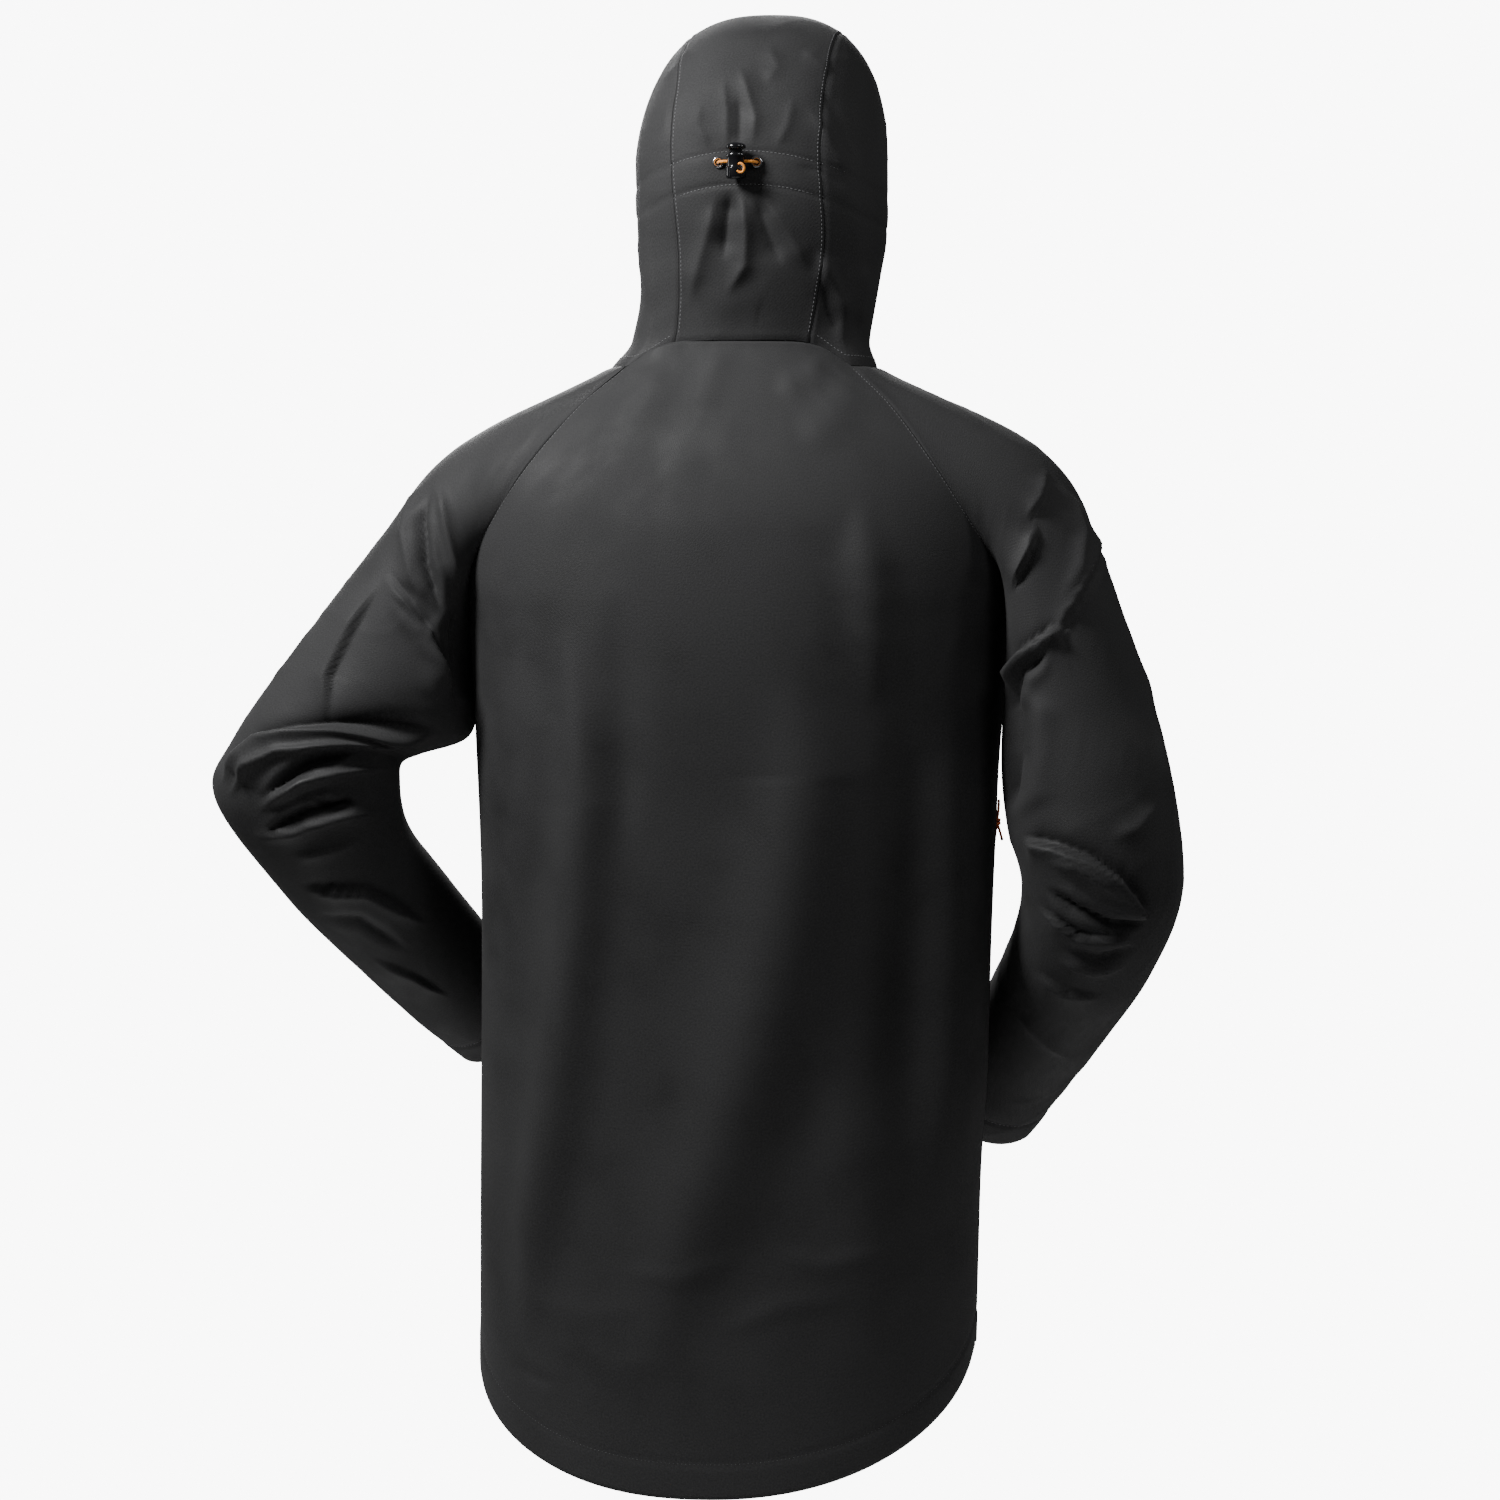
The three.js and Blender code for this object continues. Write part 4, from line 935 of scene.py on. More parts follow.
@dataclass
class Cloth:
    """A sheet of fabric over a surface.

    Args:
        surface: Its shape without folds.
        relief: Its folds.
        inside: A point well inside the garment for each set of points.
        offset: How far the sheet's outer face stands off the surface.
    """

    surface: Surface
    relief: Relief
    inside: Callable[[Array], Array]
    offset: float = SHELL / 2

    def normals(self, s: Array, t: Array, step: float = 2e-3) -> Array:
        """Outward directions of the plain surface."""
        ds = self.surface(s + step, t) - self.surface(s - step, t)
        dt = self.surface(s, t + step) - self.surface(s, t - step)
        n = unit(np.cross(ds, dt))
        p = self.surface(s, t)
        flip = np.where(((p - self.inside(p)) * n).sum(-1) < 0, -1.0, 1.0)
        return n * flip[..., None]

    def points(self, s: Array, t: Array, lift: Array) -> Array:
        """Points of the folded sheet."""
        p = self.surface(s, t)
        n = self.normals(s, t)
        height = self.relief.lift(p, n)
        return p + n * (self.offset + height + lift)[..., None]


def body_inside(p: Array) -> Array:
    """The body's middle line beside points."""
    return stack(middle_x(p[..., 2]), 0 * p[..., 1] - 10, p[..., 2])


def hood_inside(p: Array) -> Array:
    """The middle of the head, or of the neck for the hood's lowest rows."""
    y = np.where(p[..., 2] < 60, -25.0, HOOD_MIDDLE[1])
    z = np.where(p[..., 2] < 60, p[..., 2], HOOD_MIDDLE[2])
    return stack(0 * p[..., 0] - 5, y, z)


def new_object(
    name: str, bm: bmesh.types.BMesh, materials: Sequence[bpy.types.Material], rounded: bool = True
) -> bpy.types.Object:
    """Turns a finished bmesh into a piece of the scene.

    Args:
        name: The piece's name.
        bm: Its mesh in metres, which is freed.
        materials: Its materials in slot order.
        rounded: Whether its faces are shaded smooth.

    Returns:
        The object.
    """
    mesh = bpy.data.meshes.new(name)
    for face in bm.faces:
        face.smooth = rounded
    bm.to_mesh(mesh)
    bm.free()
    for material in materials:
        mesh.materials.append(material)
    obj = bpy.data.objects.new(name, mesh)
    bpy.context.scene.collection.objects.link(obj)
    return obj


def grid_mesh(cloth: Cloth, columns: Track, rows: Track, closed: bool = False) -> bmesh.types.BMesh:
    """A grid laid over a cloth, with its own UVs in metres of fabric.

    Args:
        cloth: The fabric.
        columns: The lines across.
        rows: The lines along.
        closed: Whether the first and last column are the same line.

    Returns:
        The mesh in metres, with faces out.
    """
    nx, ny = len(columns.at) - 1, len(rows.at) - 1
    bm = bmesh.new()
    bmesh.ops.create_grid(bm, x_segments=nx, y_segments=ny, size=0.5)
    co = np.array([v.co for v in bm.verts])
    i = np.rint((co[:, 0] + 0.5) * nx).astype(int)
    j = np.rint((co[:, 1] + 0.5) * ny).astype(int)
    s, t = columns.at[i], rows.at[j]
    points = cloth.points(s, t, columns.lift[i] + rows.lift[j])
    middle = cloth.surface(np.full(ny + 1, columns.at[nx // 2]), rows.at)
    down = np.concatenate([[0], np.cumsum(np.linalg.norm(np.diff(middle, axis=0), axis=1))])
    ring = cloth.surface(columns.at, np.full(nx + 1, rows.at[ny // 2]))
    around = np.concatenate([[0], np.cumsum(np.linalg.norm(np.diff(ring, axis=0), axis=1))])
    uv = bm.loops.layers.uv.new("fabric")
    for vert, p, a, b in zip(bm.verts, points * MM, around[i] * MM, down[j] * MM):
        vert.co = p
        for loop in vert.link_loops:
            loop[uv].uv = (a, b)
    if closed:
        bmesh.ops.remove_doubles(bm, verts=bm.verts, dist=2e-6)
    bm.normal_update()
    centres = np.array([f.calc_center_median() for f in bm.faces]) / MM
    out = np.array([f.normal for f in bm.faces])
    if (((centres - cloth.inside(centres)) * out).sum(1)).mean() < 0:
        bmesh.ops.reverse_faces(bm, faces=bm.faces)
    return bm


def thicken(obj: bpy.types.Object, thickness: float = CLOTH) -> bpy.types.Object:
    """Gives a sheet its thickness inwards, with the lining as its second slot.

    Args:
        obj: The sheet.
        thickness: In millimetres.

    Returns:
        The same object.
    """
    solid = obj.modifiers.new("thickness", "SOLIDIFY")
    solid.thickness = thickness * MM
    solid.offset = -1.0
    solid.material_offset = 1
    solid.material_offset_rim = 0
    return obj


# ---------------------------------------------------------------- materials
@dataclass(frozen=True)
class Finish:
    """The look of a material.

    Args:
        color: Linear base colour.
        roughness: Surface roughness.
        metallic: Whether it is metal.
        weave: Height of the weave, from 0 to 1.
        threads: Threads in a metre of the material's own coordinates.
        sheen: How much the fabric's fibres catch glancing light.
        specular: Strength of the plain reflection.
        uneven: How much colour and roughness wander.
    """

    color: tuple[float, float, float]
    roughness: float
    metallic: float = 0.0
    weave: float = 0.0
    threads: float = 900.0
    sheen: float = 0.0
    specular: float = 0.5
    uneven: float = 0.15


class FinishKind(Enum):
    """The jacket's finishes."""

    SHELL = Finish(
        (0.025, 0.025, 0.0257), 0.74, weave=0.8, threads=620, sheen=0.03, specular=0.24, uneven=0.85
    )
    LINING = Finish((0.016, 0.016, 0.017), 0.7, weave=0.6, threads=700, sheen=0.05, specular=0.25)
    TAPE = Finish((0.012, 0.012, 0.013), 0.55, weave=0.7, threads=600, specular=0.3)
    THREAD = Finish((0.13, 0.13, 0.135), 0.6, weave=0.2, threads=1500, specular=0.4)
    MOULDED = Finish((0.006, 0.006, 0.007), 0.16, specular=0.6, uneven=0.06)
    TEETH = Finish((0.010, 0.010, 0.011), 0.35, specular=0.5, uneven=0.05)
    METAL = Finish((0.62, 0.62, 0.64), 0.2, metallic=1.0, uneven=0.08)
    ORANGE = Finish((0.95, 0.34, 0.04), 0.62, weave=1.0, threads=1400, sheen=0.3, specular=0.3)
    # Rust orange for the zip pulls, raised well above the cord's own colour: painted light for pulls that
    # hang in the body's shade.
    RUST = Finish((0.85, 0.17, 0.05), 0.7, weave=1.0, threads=1400, sheen=0.3, specular=0.3)
    RUST_TIP = Finish((0.16, 0.035, 0.02), 0.5, weave=0.3, threads=1400, specular=0.3)


def link(tree: bpy.types.NodeTree, source: bpy.types.NodeSocket, target: bpy.types.NodeSocket) -> None:
    """Joins two sockets."""
    tree.links.new(source, target)


def weave_group() -> bpy.types.NodeTree:
    """The woven surface used by every fabric: a tint, a roughness mask and a normal.

    Returns:
        The node group.
    """
    group = bpy.data.node_groups.new("woven_surface", "ShaderNodeTree")
    for name, kind, value in (
        ("Place", "NodeSocketVector", None),
        ("Threads", "NodeSocketFloat", 900.0),
        ("Relief", "NodeSocketFloat", 0.5),
        ("Uneven", "NodeSocketFloat", 0.15),
    ):
        socket = group.interface.new_socket(name, in_out="INPUT", socket_type=kind)
        if value is not None:
            socket.default_value = value
    for name, kind in (
        ("Tint", "NodeSocketFloat"), ("Wander", "NodeSocketFloat"), ("Normal", "NodeSocketVector")
    ):
        group.interface.new_socket(name, in_out="OUTPUT", socket_type=kind)
    nodes = group.nodes
    inputs, outputs = nodes.new("NodeGroupInput"), nodes.new("NodeGroupOutput")

    def math_node(operation: str, a: object, b: object = None) -> bpy.types.NodeSocket:
        """Adds a calculation and gives its result."""
        node = nodes.new("ShaderNodeMath")
        node.operation = operation
        for slot, value in enumerate((a, b)):
            if isinstance(value, (int, float)):
                node.inputs[slot].default_value = value
            elif value is not None:
                link(group, value, node.inputs[slot])
        return node.outputs[0]

    split = nodes.new("ShaderNodeSeparateXYZ")
    link(group, inputs.outputs["Place"], split.inputs[0])
    u = math_node("MULTIPLY", split.outputs[0], inputs.outputs["Threads"])
    v = math_node("MULTIPLY", split.outputs[1], inputs.outputs["Threads"])
    turn = 6.2832  # a whole turn, so one thread to each step of the place
    diagonal = math_node("SINE", math_node("MULTIPLY", math_node("ADD", u, v), turn / 2))
    warp = math_node("SINE", math_node("MULTIPLY", u, turn))
    weft = math_node("SINE", math_node("MULTIPLY", v, turn))
    threads = math_node("ADD", math_node("MULTIPLY", warp, weft), math_node("MULTIPLY", diagonal, 0.6))

    def noise_node(scale: float, detail: float) -> bpy.types.Node:
        """Adds a noise over the fabric's place."""
        node = nodes.new("ShaderNodeTexNoise")
        node.inputs["Scale"].default_value = scale
        node.inputs["Detail"].default_value = detail
        link(group, inputs.outputs["Place"], node.inputs["Vector"])
        return node

    patches = noise_node(14.0, 4.0)
    grain = noise_node(680.0, 3.0)
    wander = math_node("SUBTRACT", patches.outputs["Fac"], 0.5)
    speck = math_node("SUBTRACT", grain.outputs["Fac"], 0.5)
    both = math_node("ADD", wander, math_node("MULTIPLY", speck, 1.4))
    tint = math_node("ADD", math_node("MULTIPLY", both, inputs.outputs["Uneven"]), 1.0)
    link(group, tint, outputs.inputs["Tint"])
    link(group, math_node("MULTIPLY", wander, inputs.outputs["Uneven"]), outputs.inputs["Wander"])
    crumple = noise_node(16.0, 3.0)
    crumple.noise_type = "RIDGED_MULTIFRACTAL"
    height = math_node("ADD", math_node("MULTIPLY", threads, 0.05), math_node("MULTIPLY", speck, 0.5))
    height = math_node("ADD", height, math_node("MULTIPLY", crumple.outputs["Fac"], 1.7))
    bump = nodes.new("ShaderNodeBump")
    bump.inputs["Distance"].default_value = 0.0005
    link(group, inputs.outputs["Relief"], bump.inputs["Strength"])
    link(group, height, bump.inputs["Height"])
    link(group, bump.outputs["Normal"], outputs.inputs["Normal"])
    return group


@dataclass
class Palette:
    """The jacket's materials, each made once.

    Args:
        weave: The shared woven surface.
        made: The materials made so far.
    """

    weave: bpy.types.NodeTree = field(default_factory=weave_group)
    made: dict[str, bpy.types.Material] = field(default_factory=dict)

    def get(self, kind: FinishKind, own_uv: bool = False) -> bpy.types.Material:
        """The material of a finish.

        Args:
            kind: Which finish.
            own_uv: Whether the weave follows the piece's own UVs.

        Returns:
            The material.
        """
        name = kind.name.lower() + ("_uv" if own_uv else "")
        if name not in self.made:
            self.made[name] = self._build(name, kind.value, own_uv)
        return self.made[name]

    def _build(self, name: str, finish: Finish, own_uv: bool) -> bpy.types.Material:
        """Makes one material."""
        material = bpy.data.materials.new(name)
        material.use_nodes = True
        tree = material.node_tree
        shader = tree.nodes["Principled BSDF"]
        shader.inputs["Metallic"].default_value = finish.metallic
        shader.inputs["Specular IOR Level"].default_value = finish.specular
        shader.inputs["Sheen Weight"].default_value = finish.sheen
        shader.inputs["Sheen Roughness"].default_value = 0.4
        place = tree.nodes.new("ShaderNodeTexCoord")
        weave = tree.nodes.new("ShaderNodeGroup")
        weave.node_tree = self.weave
        weave.inputs["Threads"].default_value = finish.threads
        weave.inputs["Relief"].default_value = finish.weave
        weave.inputs["Uneven"].default_value = finish.uneven
        link(tree, place.outputs["UV" if own_uv else "Object"], weave.inputs["Place"])
        tint = tree.nodes.new("ShaderNodeVectorMath")
        tint.operation = "SCALE"
        tint.inputs[0].default_value = finish.color
        link(tree, weave.outputs["Tint"], tint.inputs["Scale"])
        link(tree, tint.outputs[0], shader.inputs["Base Color"])
        rough = tree.nodes.new("ShaderNodeMath")
        rough.operation = "ADD"
        rough.inputs[1].default_value = finish.roughness
        link(tree, weave.outputs["Wander"], rough.inputs[0])
        link(tree, rough.outputs[0], shader.inputs["Roughness"])
        if finish.weave > 0:
            link(tree, weave.outputs["Normal"], shader.inputs["Normal"])
        return material


# ---------------------------------------------------------------- stitches and cords
@dataclass
class Repeats:
    """Many placed copies of one small shape, in a single mesh.

    Args:
        places: Each copy's place, in millimetres.
    """

    places: list[Matrix] = field(default_factory=list)

    def build(
        self, name: str, pattern: bmesh.types.BMesh, material: bpy.types.Material, rounded: bool = True
    ) -> bpy.types.Object:
        """Makes the copies.

        Args:
            name: The piece's name.
            pattern: The shape in millimetres, which is freed.
            material: Its finish.
            rounded: Whether faces are shaded smooth.

        Returns:
            The object.
        """
        co = np.array([(*v.co, 1.0) for v in pattern.verts])
        faces = [[v.index for v in f.verts] for f in pattern.faces]
        pattern.free()
        matrices = np.array([[list(row) for row in m] for m in self.places])
        points = np.einsum("nij,vj->nvi", matrices, co)[..., :3].reshape(-1, 3) * MM
        mesh = bpy.data.meshes.new(name)
        total = len(co)
        mesh.from_pydata(
            points.tolist(), [], [[i + k * total for i in f] for k in range(len(matrices)) for f in faces]
        )
        mesh.polygons.foreach_set("use_smooth", np.full(len(mesh.polygons), rounded))
        mesh.materials.append(material)
        obj = bpy.data.objects.new(name, mesh)
        bpy.context.scene.collection.objects.link(obj)
        return obj


def thread_pattern() -> bmesh.types.BMesh:
    """One stitch of unit size along Z."""
    bm = bmesh.new()
    bmesh.ops.create_uvsphere(bm, u_segments=6, v_segments=4, radius=1.0)
    bm.verts.index_update()
    return bm


def stitch_row(
    bm: Repeats, path: Array, pitch: float = 3.2, length: float = 2.2, radius: float = 0.32
) -> None:
    """Adds a row of stitches along a path of points in millimetres.

    Args:
        bm: The stitches so far.
        path: The points the row follows.
        pitch: Distance from stitch to stitch.
        length: A stitch's length.
        radius: Half the thread's thickness.
    """
    step = np.linalg.norm(np.diff(path, axis=0), axis=1)
    run = np.concatenate([[0], np.cumsum(step)])
    starts = np.arange(pitch / 2, run[-1] - length, pitch)

    def at(d: Array) -> Array:
        """Points at distances along the path."""
        return np.stack([np.interp(d, run, path[:, k]) for k in range(3)], -1)

    for a, b in zip(at(starts), at(starts + length)):
        d = Vector(b - a)
        turn = d.to_track_quat("Z", "Y").to_matrix().to_4x4()
        shape = Matrix.Diagonal((radius, radius, d.length / 2, 1))
        bm.places.append(Matrix.Translation(Vector((a + b) / 2)) @ turn @ shape)


def smooth_path(points: Sequence[Sequence[float]], steps: int) -> Array:
    """Evenly stepped points of a smooth path.

    Args:
        points: What it goes through, in millimetres.
        steps: How many equal steps of the parameter to return.

    Returns:
        The points of the spline.
    """
    given = np.array(points, float)
    return spline(given, np.linspace(0, len(given) - 1, steps + 1))


# ---------------------------------------------------------------- sub-assemblies
@dataclass
class Studio:
    """Camera, lights and floor.

    Args:
        distance: Camera to object, in metres.
        lens: Focal length in millimetres.
        aim: The point the camera looks at, in metres.
    """

    distance: float = 5.0
    lens: float = 153.2
    aim: tuple[float, float, float] = (-0.0047, 0.0, -0.3185)

    def build(self) -> None:
        """Makes everything that isn't part of the jacket."""
        self._camera()
        self._world()
        self._light("key", 58.0, 40.0, 1.35, (0.3, 0.4), 38.0)
        self._light("left_rim", 114.0, 10.0, 2.4, (0.25, 1.4), 7.0)
        self._light("right_rim", -80.0, 26.0, 2.0, (0.2, 0.8), 6.5)
        self._light("fill", -40.0, 36.0, 2.2, (0.6, 0.8), 8.5)
        self._light("front", 172.0, 24.0, 2.4, (1.2, 1.2), 60.0)
        bm = bmesh.new()
        bmesh.ops.create_circle(bm, cap_ends=True, radius=FLOOR_RADIUS, segments=96)
        floor = new_object("floor", bm, [self._floor_material()])
        floor.location = (0, 0, CAD_BOUNDS[0].z - FLOOR_GAP)

    def _camera(self) -> None:
        """The camera, looking at the jacket's back."""
        data = bpy.data.cameras.new("camera")
        data.lens = self.lens
        data.sensor_width = 36.0
        data.clip_end = 50.0
        camera = bpy.data.objects.new("camera", data)
        direction = Vector(view_direction(VIEW_AZIMUTH, VIEW_ELEVATION))
        camera.location = Vector(self.aim) + direction * self.distance
        camera.rotation_euler = (-direction).to_track_quat("-Z", "Y").to_euler()
        bpy.context.scene.collection.objects.link(camera)
        bpy.context.scene.camera = camera

    def _world(self) -> None:
        """A white room that lights the jacket only a little."""
        world = bpy.data.worlds.new("studio")
        world.use_nodes = True
        bpy.context.scene.world = world
        tree = world.node_tree
        seen = tree.nodes["Background"]
        seen.inputs["Color"].default_value = (1, 1, 1, 1)
        seen.inputs["Strength"].default_value = 9.0
        dim = tree.nodes.new("ShaderNodeBackground")
        dim.inputs["Color"].default_value = (1, 1, 1, 1)
        dim.inputs["Strength"].default_value = 0.05
        path = tree.nodes.new("ShaderNodeLightPath")
        choose = tree.nodes.new("ShaderNodeMixShader")
        link(tree, path.outputs["Is Camera Ray"], choose.inputs[0])
        link(tree, dim.outputs[0], choose.inputs[1])
        link(tree, seen.outputs[0], choose.inputs[2])
        link(tree, choose.outputs[0], tree.nodes["World Output"].inputs[0])

    def _light(
        self, name: str, swing: float, rise: float, distance: float, size: tuple[float, float], power: float
    ) -> None:
        """An area light that looks at the jacket.

        Args:
            name: Its name.
            swing: Degrees from the camera towards the wearer's left.
            rise: Degrees above the horizon.
            distance: Metres from the jacket.
            size: Width and height in metres.
            power: Watts.
        """
        data = bpy.data.lights.new(name, "AREA")
        data.shape = "RECTANGLE"
        data.size, data.size_y = size
        data.energy = power
        lamp = bpy.data.objects.new(name, data)
        direction = Vector(view_direction(VIEW_AZIMUTH - swing, rise))
        lamp.location = Vector(self.aim) + Vector((0, 0, 0.28)) + direction * distance
        lamp.rotation_euler = (-direction).to_track_quat("-Z", "Y").to_euler()
        bpy.context.scene.collection.objects.link(lamp)

    def _floor_material(self) -> bpy.types.Material:
        """A plain pale floor."""
        material = bpy.data.materials.new("floor")
        material.use_nodes = True
        shader = material.node_tree.nodes["Principled BSDF"]
        shader.inputs["Base Color"].default_value = (0.82, 0.82, 0.82, 1)
        shader.inputs["Roughness"].default_value = 0.8
        return material


@dataclass
class BodyShell:
    """The back and the two fronts with their turned-up hem.

    Args:
        palette: The materials.
        pitch: Grid size of the back.
    """

    palette: Palette
    pitch: float = 3.4
    relief: Relief = field(default_factory=lambda: Relief(BACK_FOLDS, 0.9, (80, 240), 1.0, -0.3, 1.3, 0.0))

    def build(self) -> None:
        """Makes the three panels and their stitches."""
        fabric, lining = self.palette.get(FinishKind.SHELL, True), self.palette.get(FinishKind.LINING, True)
        self.cloths = {"back_panel": Cloth(back_surface, self.relief, body_inside)}
        tuck = TUCK / 235
        columns = Track.seamed(-1 - tuck, 1 + tuck, 470, self.pitch)
        rows = Track.seamed(-TUCK / 880, 1, 880, self.pitch, (True, False))
        rows = self._hem_groove(rows, 885).turned_up(HEM_DEPTH / 880)
        bm = grid_mesh(self.cloths["back_panel"], columns, rows)
        back = thicken(new_object("back_panel_fabric", bm, [fabric, lining]))
        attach(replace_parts(back, "back_panel", "hem_facing"), "torso")
        for side in Side:
            node = f"{side.word}_front_panel"
            cloth = Cloth(front_surface(side), self.relief, body_inside)
            self.cloths[node] = cloth
            columns = Track.seamed(0, 1, 240, 4.2, sink=0.4)
            rows = Track.seamed(-TUCK / 775, 1, 775, 4.2, (True, False))
            rows = self._hem_groove(rows, 775).turned_up(HEM_DEPTH / 775)
            bm = grid_mesh(cloth, columns, rows)
            front = thicken(new_object(f"{node}_fabric", bm, [fabric, lining]))
            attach(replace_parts(front, node), "torso")
        self._stitches()

    def _hem_groove(self, rows: Track, length: float) -> Track:
        """Sinks the line where the hem is stitched and plumps the channel below it."""
        d = (1 - rows.at) * length
        stitched = -0.9 * np.exp(-(((d - HEM_DEPTH) / 1.6) ** 2))
        groove = stitched + 0.5 * smooth(HEM_DEPTH + 1, HEM_DEPTH - 4, d)
        return Track(rows.at, rows.lift + groove)

    def _stitches(self) -> None:
        """The hem's row of stitches and the ones beside the raglan seams."""
        bm = Repeats()
        back = self.cloths["back_panel"]
        s = np.linspace(-0.995, 0.995, 260)
        stitch_row(bm, back.points(s, np.full(s.shape, 1 - HEM_DEPTH / 880), np.full(s.shape, -0.7)))
        for side in Side:
            front = self.cloths[f"{side.word}_front_panel"]
            s = np.linspace(0.01, 0.985, 120)
            stitch_row(bm, front.points(s, np.full(s.shape, 1 - HEM_DEPTH / 775), np.full(s.shape, -0.7)))
            t = np.linspace(0.004, 0.216, 120)
            stitch_row(
                bm, back.points(np.full(t.shape, side.value * 0.984), t, np.full(t.shape, 0.1)), radius=0.22
            )
        threads = bm.build("body_stitches", thread_pattern(), self.palette.get(FinishKind.THREAD))
        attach(threads, "torso")


@dataclass
class Sleeve:
    """A whole sleeve from raglan seam to cuff, shaped with a bend at the elbow.

    Args:
        side: Which arm.
        palette: The materials.
    """

    side: Side
    palette: Palette

    def build(self) -> None:
        """Makes the sleeve, its cuff stitches and its cuff tab."""
        word = self.side.word
        form = SleeveForm(self.side)
        folds = LEFT_FOLDS if self.side is Side.LEFT else RIGHT_FOLDS
        relief = Relief(folds, 0.7, (55, 80), 3.0 + self.side.value, 0.0, 1.7, 0.5)
        spine = np.array([form.core(t) for t in np.linspace(0, SLEEVE_END, 37)])

        def inside(p: Array) -> Array:
            """The sleeve's middle line beside points."""
            off = ((p[..., None, :] - spine) ** 2).sum(-1)
            return spine[off.argmin(-1)]

        cloth = Cloth(form.surface, relief, inside)
        fabric, lining = self.palette.get(FinishKind.SHELL, True), self.palette.get(FinishKind.LINING, True)
        rows = Track.seamed(0, SLEEVE_END, SLEEVE_LENGTH, 2.4, (True, False), 0.35)
        hem = CUFF_HEM_DEPTH / LAST_RING_GAP
        d = (SLEEVE_END - rows.at) / hem * CUFF_HEM_DEPTH
        stitched = -0.8 * np.exp(-(((d - CUFF_HEM_DEPTH) / 1.8) ** 2))
        groove = stitched + 0.4 * smooth(CUFF_HEM_DEPTH + 1, CUFF_HEM_DEPTH - 4, d)
        rows = Track(rows.at, rows.lift + groove).turned_up(hem, 4, 1.6)
        columns = Track.even(0, 1, 176)
        bm = grid_mesh(cloth, columns, rows, closed=True)
        sleeve = thicken(new_object(f"{word}_sleeve_fabric", bm, [fabric, lining]))
        start, end = form.core(ELBOW_T - 0.9) * MM, form.core(ELBOW_T + 0.9) * MM
        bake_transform(sleeve)
        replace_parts(sleeve, f"{word}_upper_sleeve", f"{word}_lower_sleeve", f"{word}_cuff_facing")
        self._stitches(cloth, hem)
        self._tab(cloth, hem)

    def _stitches(self, cloth: Cloth, hem: float) -> None:
        """The row of stitches round the cuff."""
        bm = Repeats()
        v = np.linspace(0, 1, 160)
        stitch_row(bm, cloth.points(v, np.full(v.shape, SLEEVE_END - hem), np.full(v.shape, -0.6)))
        threads = bm.build(
            f"{self.side.word}_cuff_stitches", thread_pattern(), self.palette.get(FinishKind.THREAD)
        )
        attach(threads, f"{self.side.word}_forearm")

    def _tab(self, cloth: Cloth, hem: float) -> None:
        """The cuff's closing tab with rounded corners and a stitched border."""
        flip = self.side.value
        low, high = SLEEVE_END - 0.92 * hem, SLEEVE_END - 0.12 * hem
        start, sweep = flip * 0.6, flip * 0.2
        off = 2 * TRIM + 4 * FIT + SHELL + 0.8

        def shape(s: Array, t: Array) -> Array:
            """The surface of the piece."""
            round_end = 1 - 0.16 * np.maximum(0, (s - 0.8) / 0.2) ** 2
            middle = (low + high) / 2
            v = start + sweep * mix(0.08, 1, s)
            return cloth.surface(v, middle + (mix(low, high, t) - middle) * round_end)

        tab = Cloth(shape, Relief((), 0.15, (20, 20), 9.0), cloth.inside, off)
        bm = grid_mesh(tab, Track.seamed(0, 1, 54, 2.2), Track.seamed(0, 1, 21, 2.0))
        piece = thicken(
            new_object(
                f"{self.side.word}_cuff_tab_fabric", bm, [self.palette.get(FinishKind.SHELL, True)] * 2
            ),
            1.4,
        )
        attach(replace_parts(piece, f"{self.side.word}_cuff_tab"), f"{self.side.word}_tab")
        bm = Repeats()
        loop = [
            (0.06, 0.1),
            (0.5, 0.1),
            (0.93, 0.12),
            (0.96, 0.5),
            (0.93, 0.88),
            (0.5, 0.9),
            (0.06, 0.9),
            (0.06, 0.1),
        ]
        run = np.linspace(0, len(loop) - 1, 160)
        s = np.interp(run, range(len(loop)), [p[0] for p in loop])
        t = np.interp(run, range(len(loop)), [p[1] for p in loop])
        stitch_row(bm, tab.points(s, t, np.full(s.shape, 0.05)), 2.6, 1.8, 0.22)
        threads = bm.build(
            f"{self.side.word}_tab_stitches", thread_pattern(), self.palette.get(FinishKind.THREAD)
        )
        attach(threads, f"{self.side.word}_tab")


@dataclass
class TunnelRelief(Relief):
    """The hood's relief with the drawcord tunnel: two sunken stitch lines and a plump middle."""

    def lift(self, p: Array, n: Array) -> Array:
        """The folds and the tunnel at points with these outward directions."""
        x = p[..., 0] - hood_lean(p[..., 2])
        middle = TUNNEL_Z - TUNNEL_DROP * (x / HOOD_HALF_WIDTH) ** 2
        off = p[..., 2] - middle
        behind = smooth(-78, -58, p[..., 1])
        grooves = sum(-0.7 * np.exp(-(((off - k * TUNNEL_WIDTH / 2) / 1.5) ** 2)) for k in (-1, 1))
        plump = 0.5 * np.exp(-((off / 9) ** 4))
        pinch = -2.2 * np.exp(-((off / 11) ** 2)) * np.exp(-(((x + 3) / 24) ** 2))
        return super().lift(p, n) + behind * (grooves + plump + pinch)


def neck_sewn(obj: bpy.types.Object) -> None:
    """Bakes a hood piece's placement into its mesh."""
    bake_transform(obj)


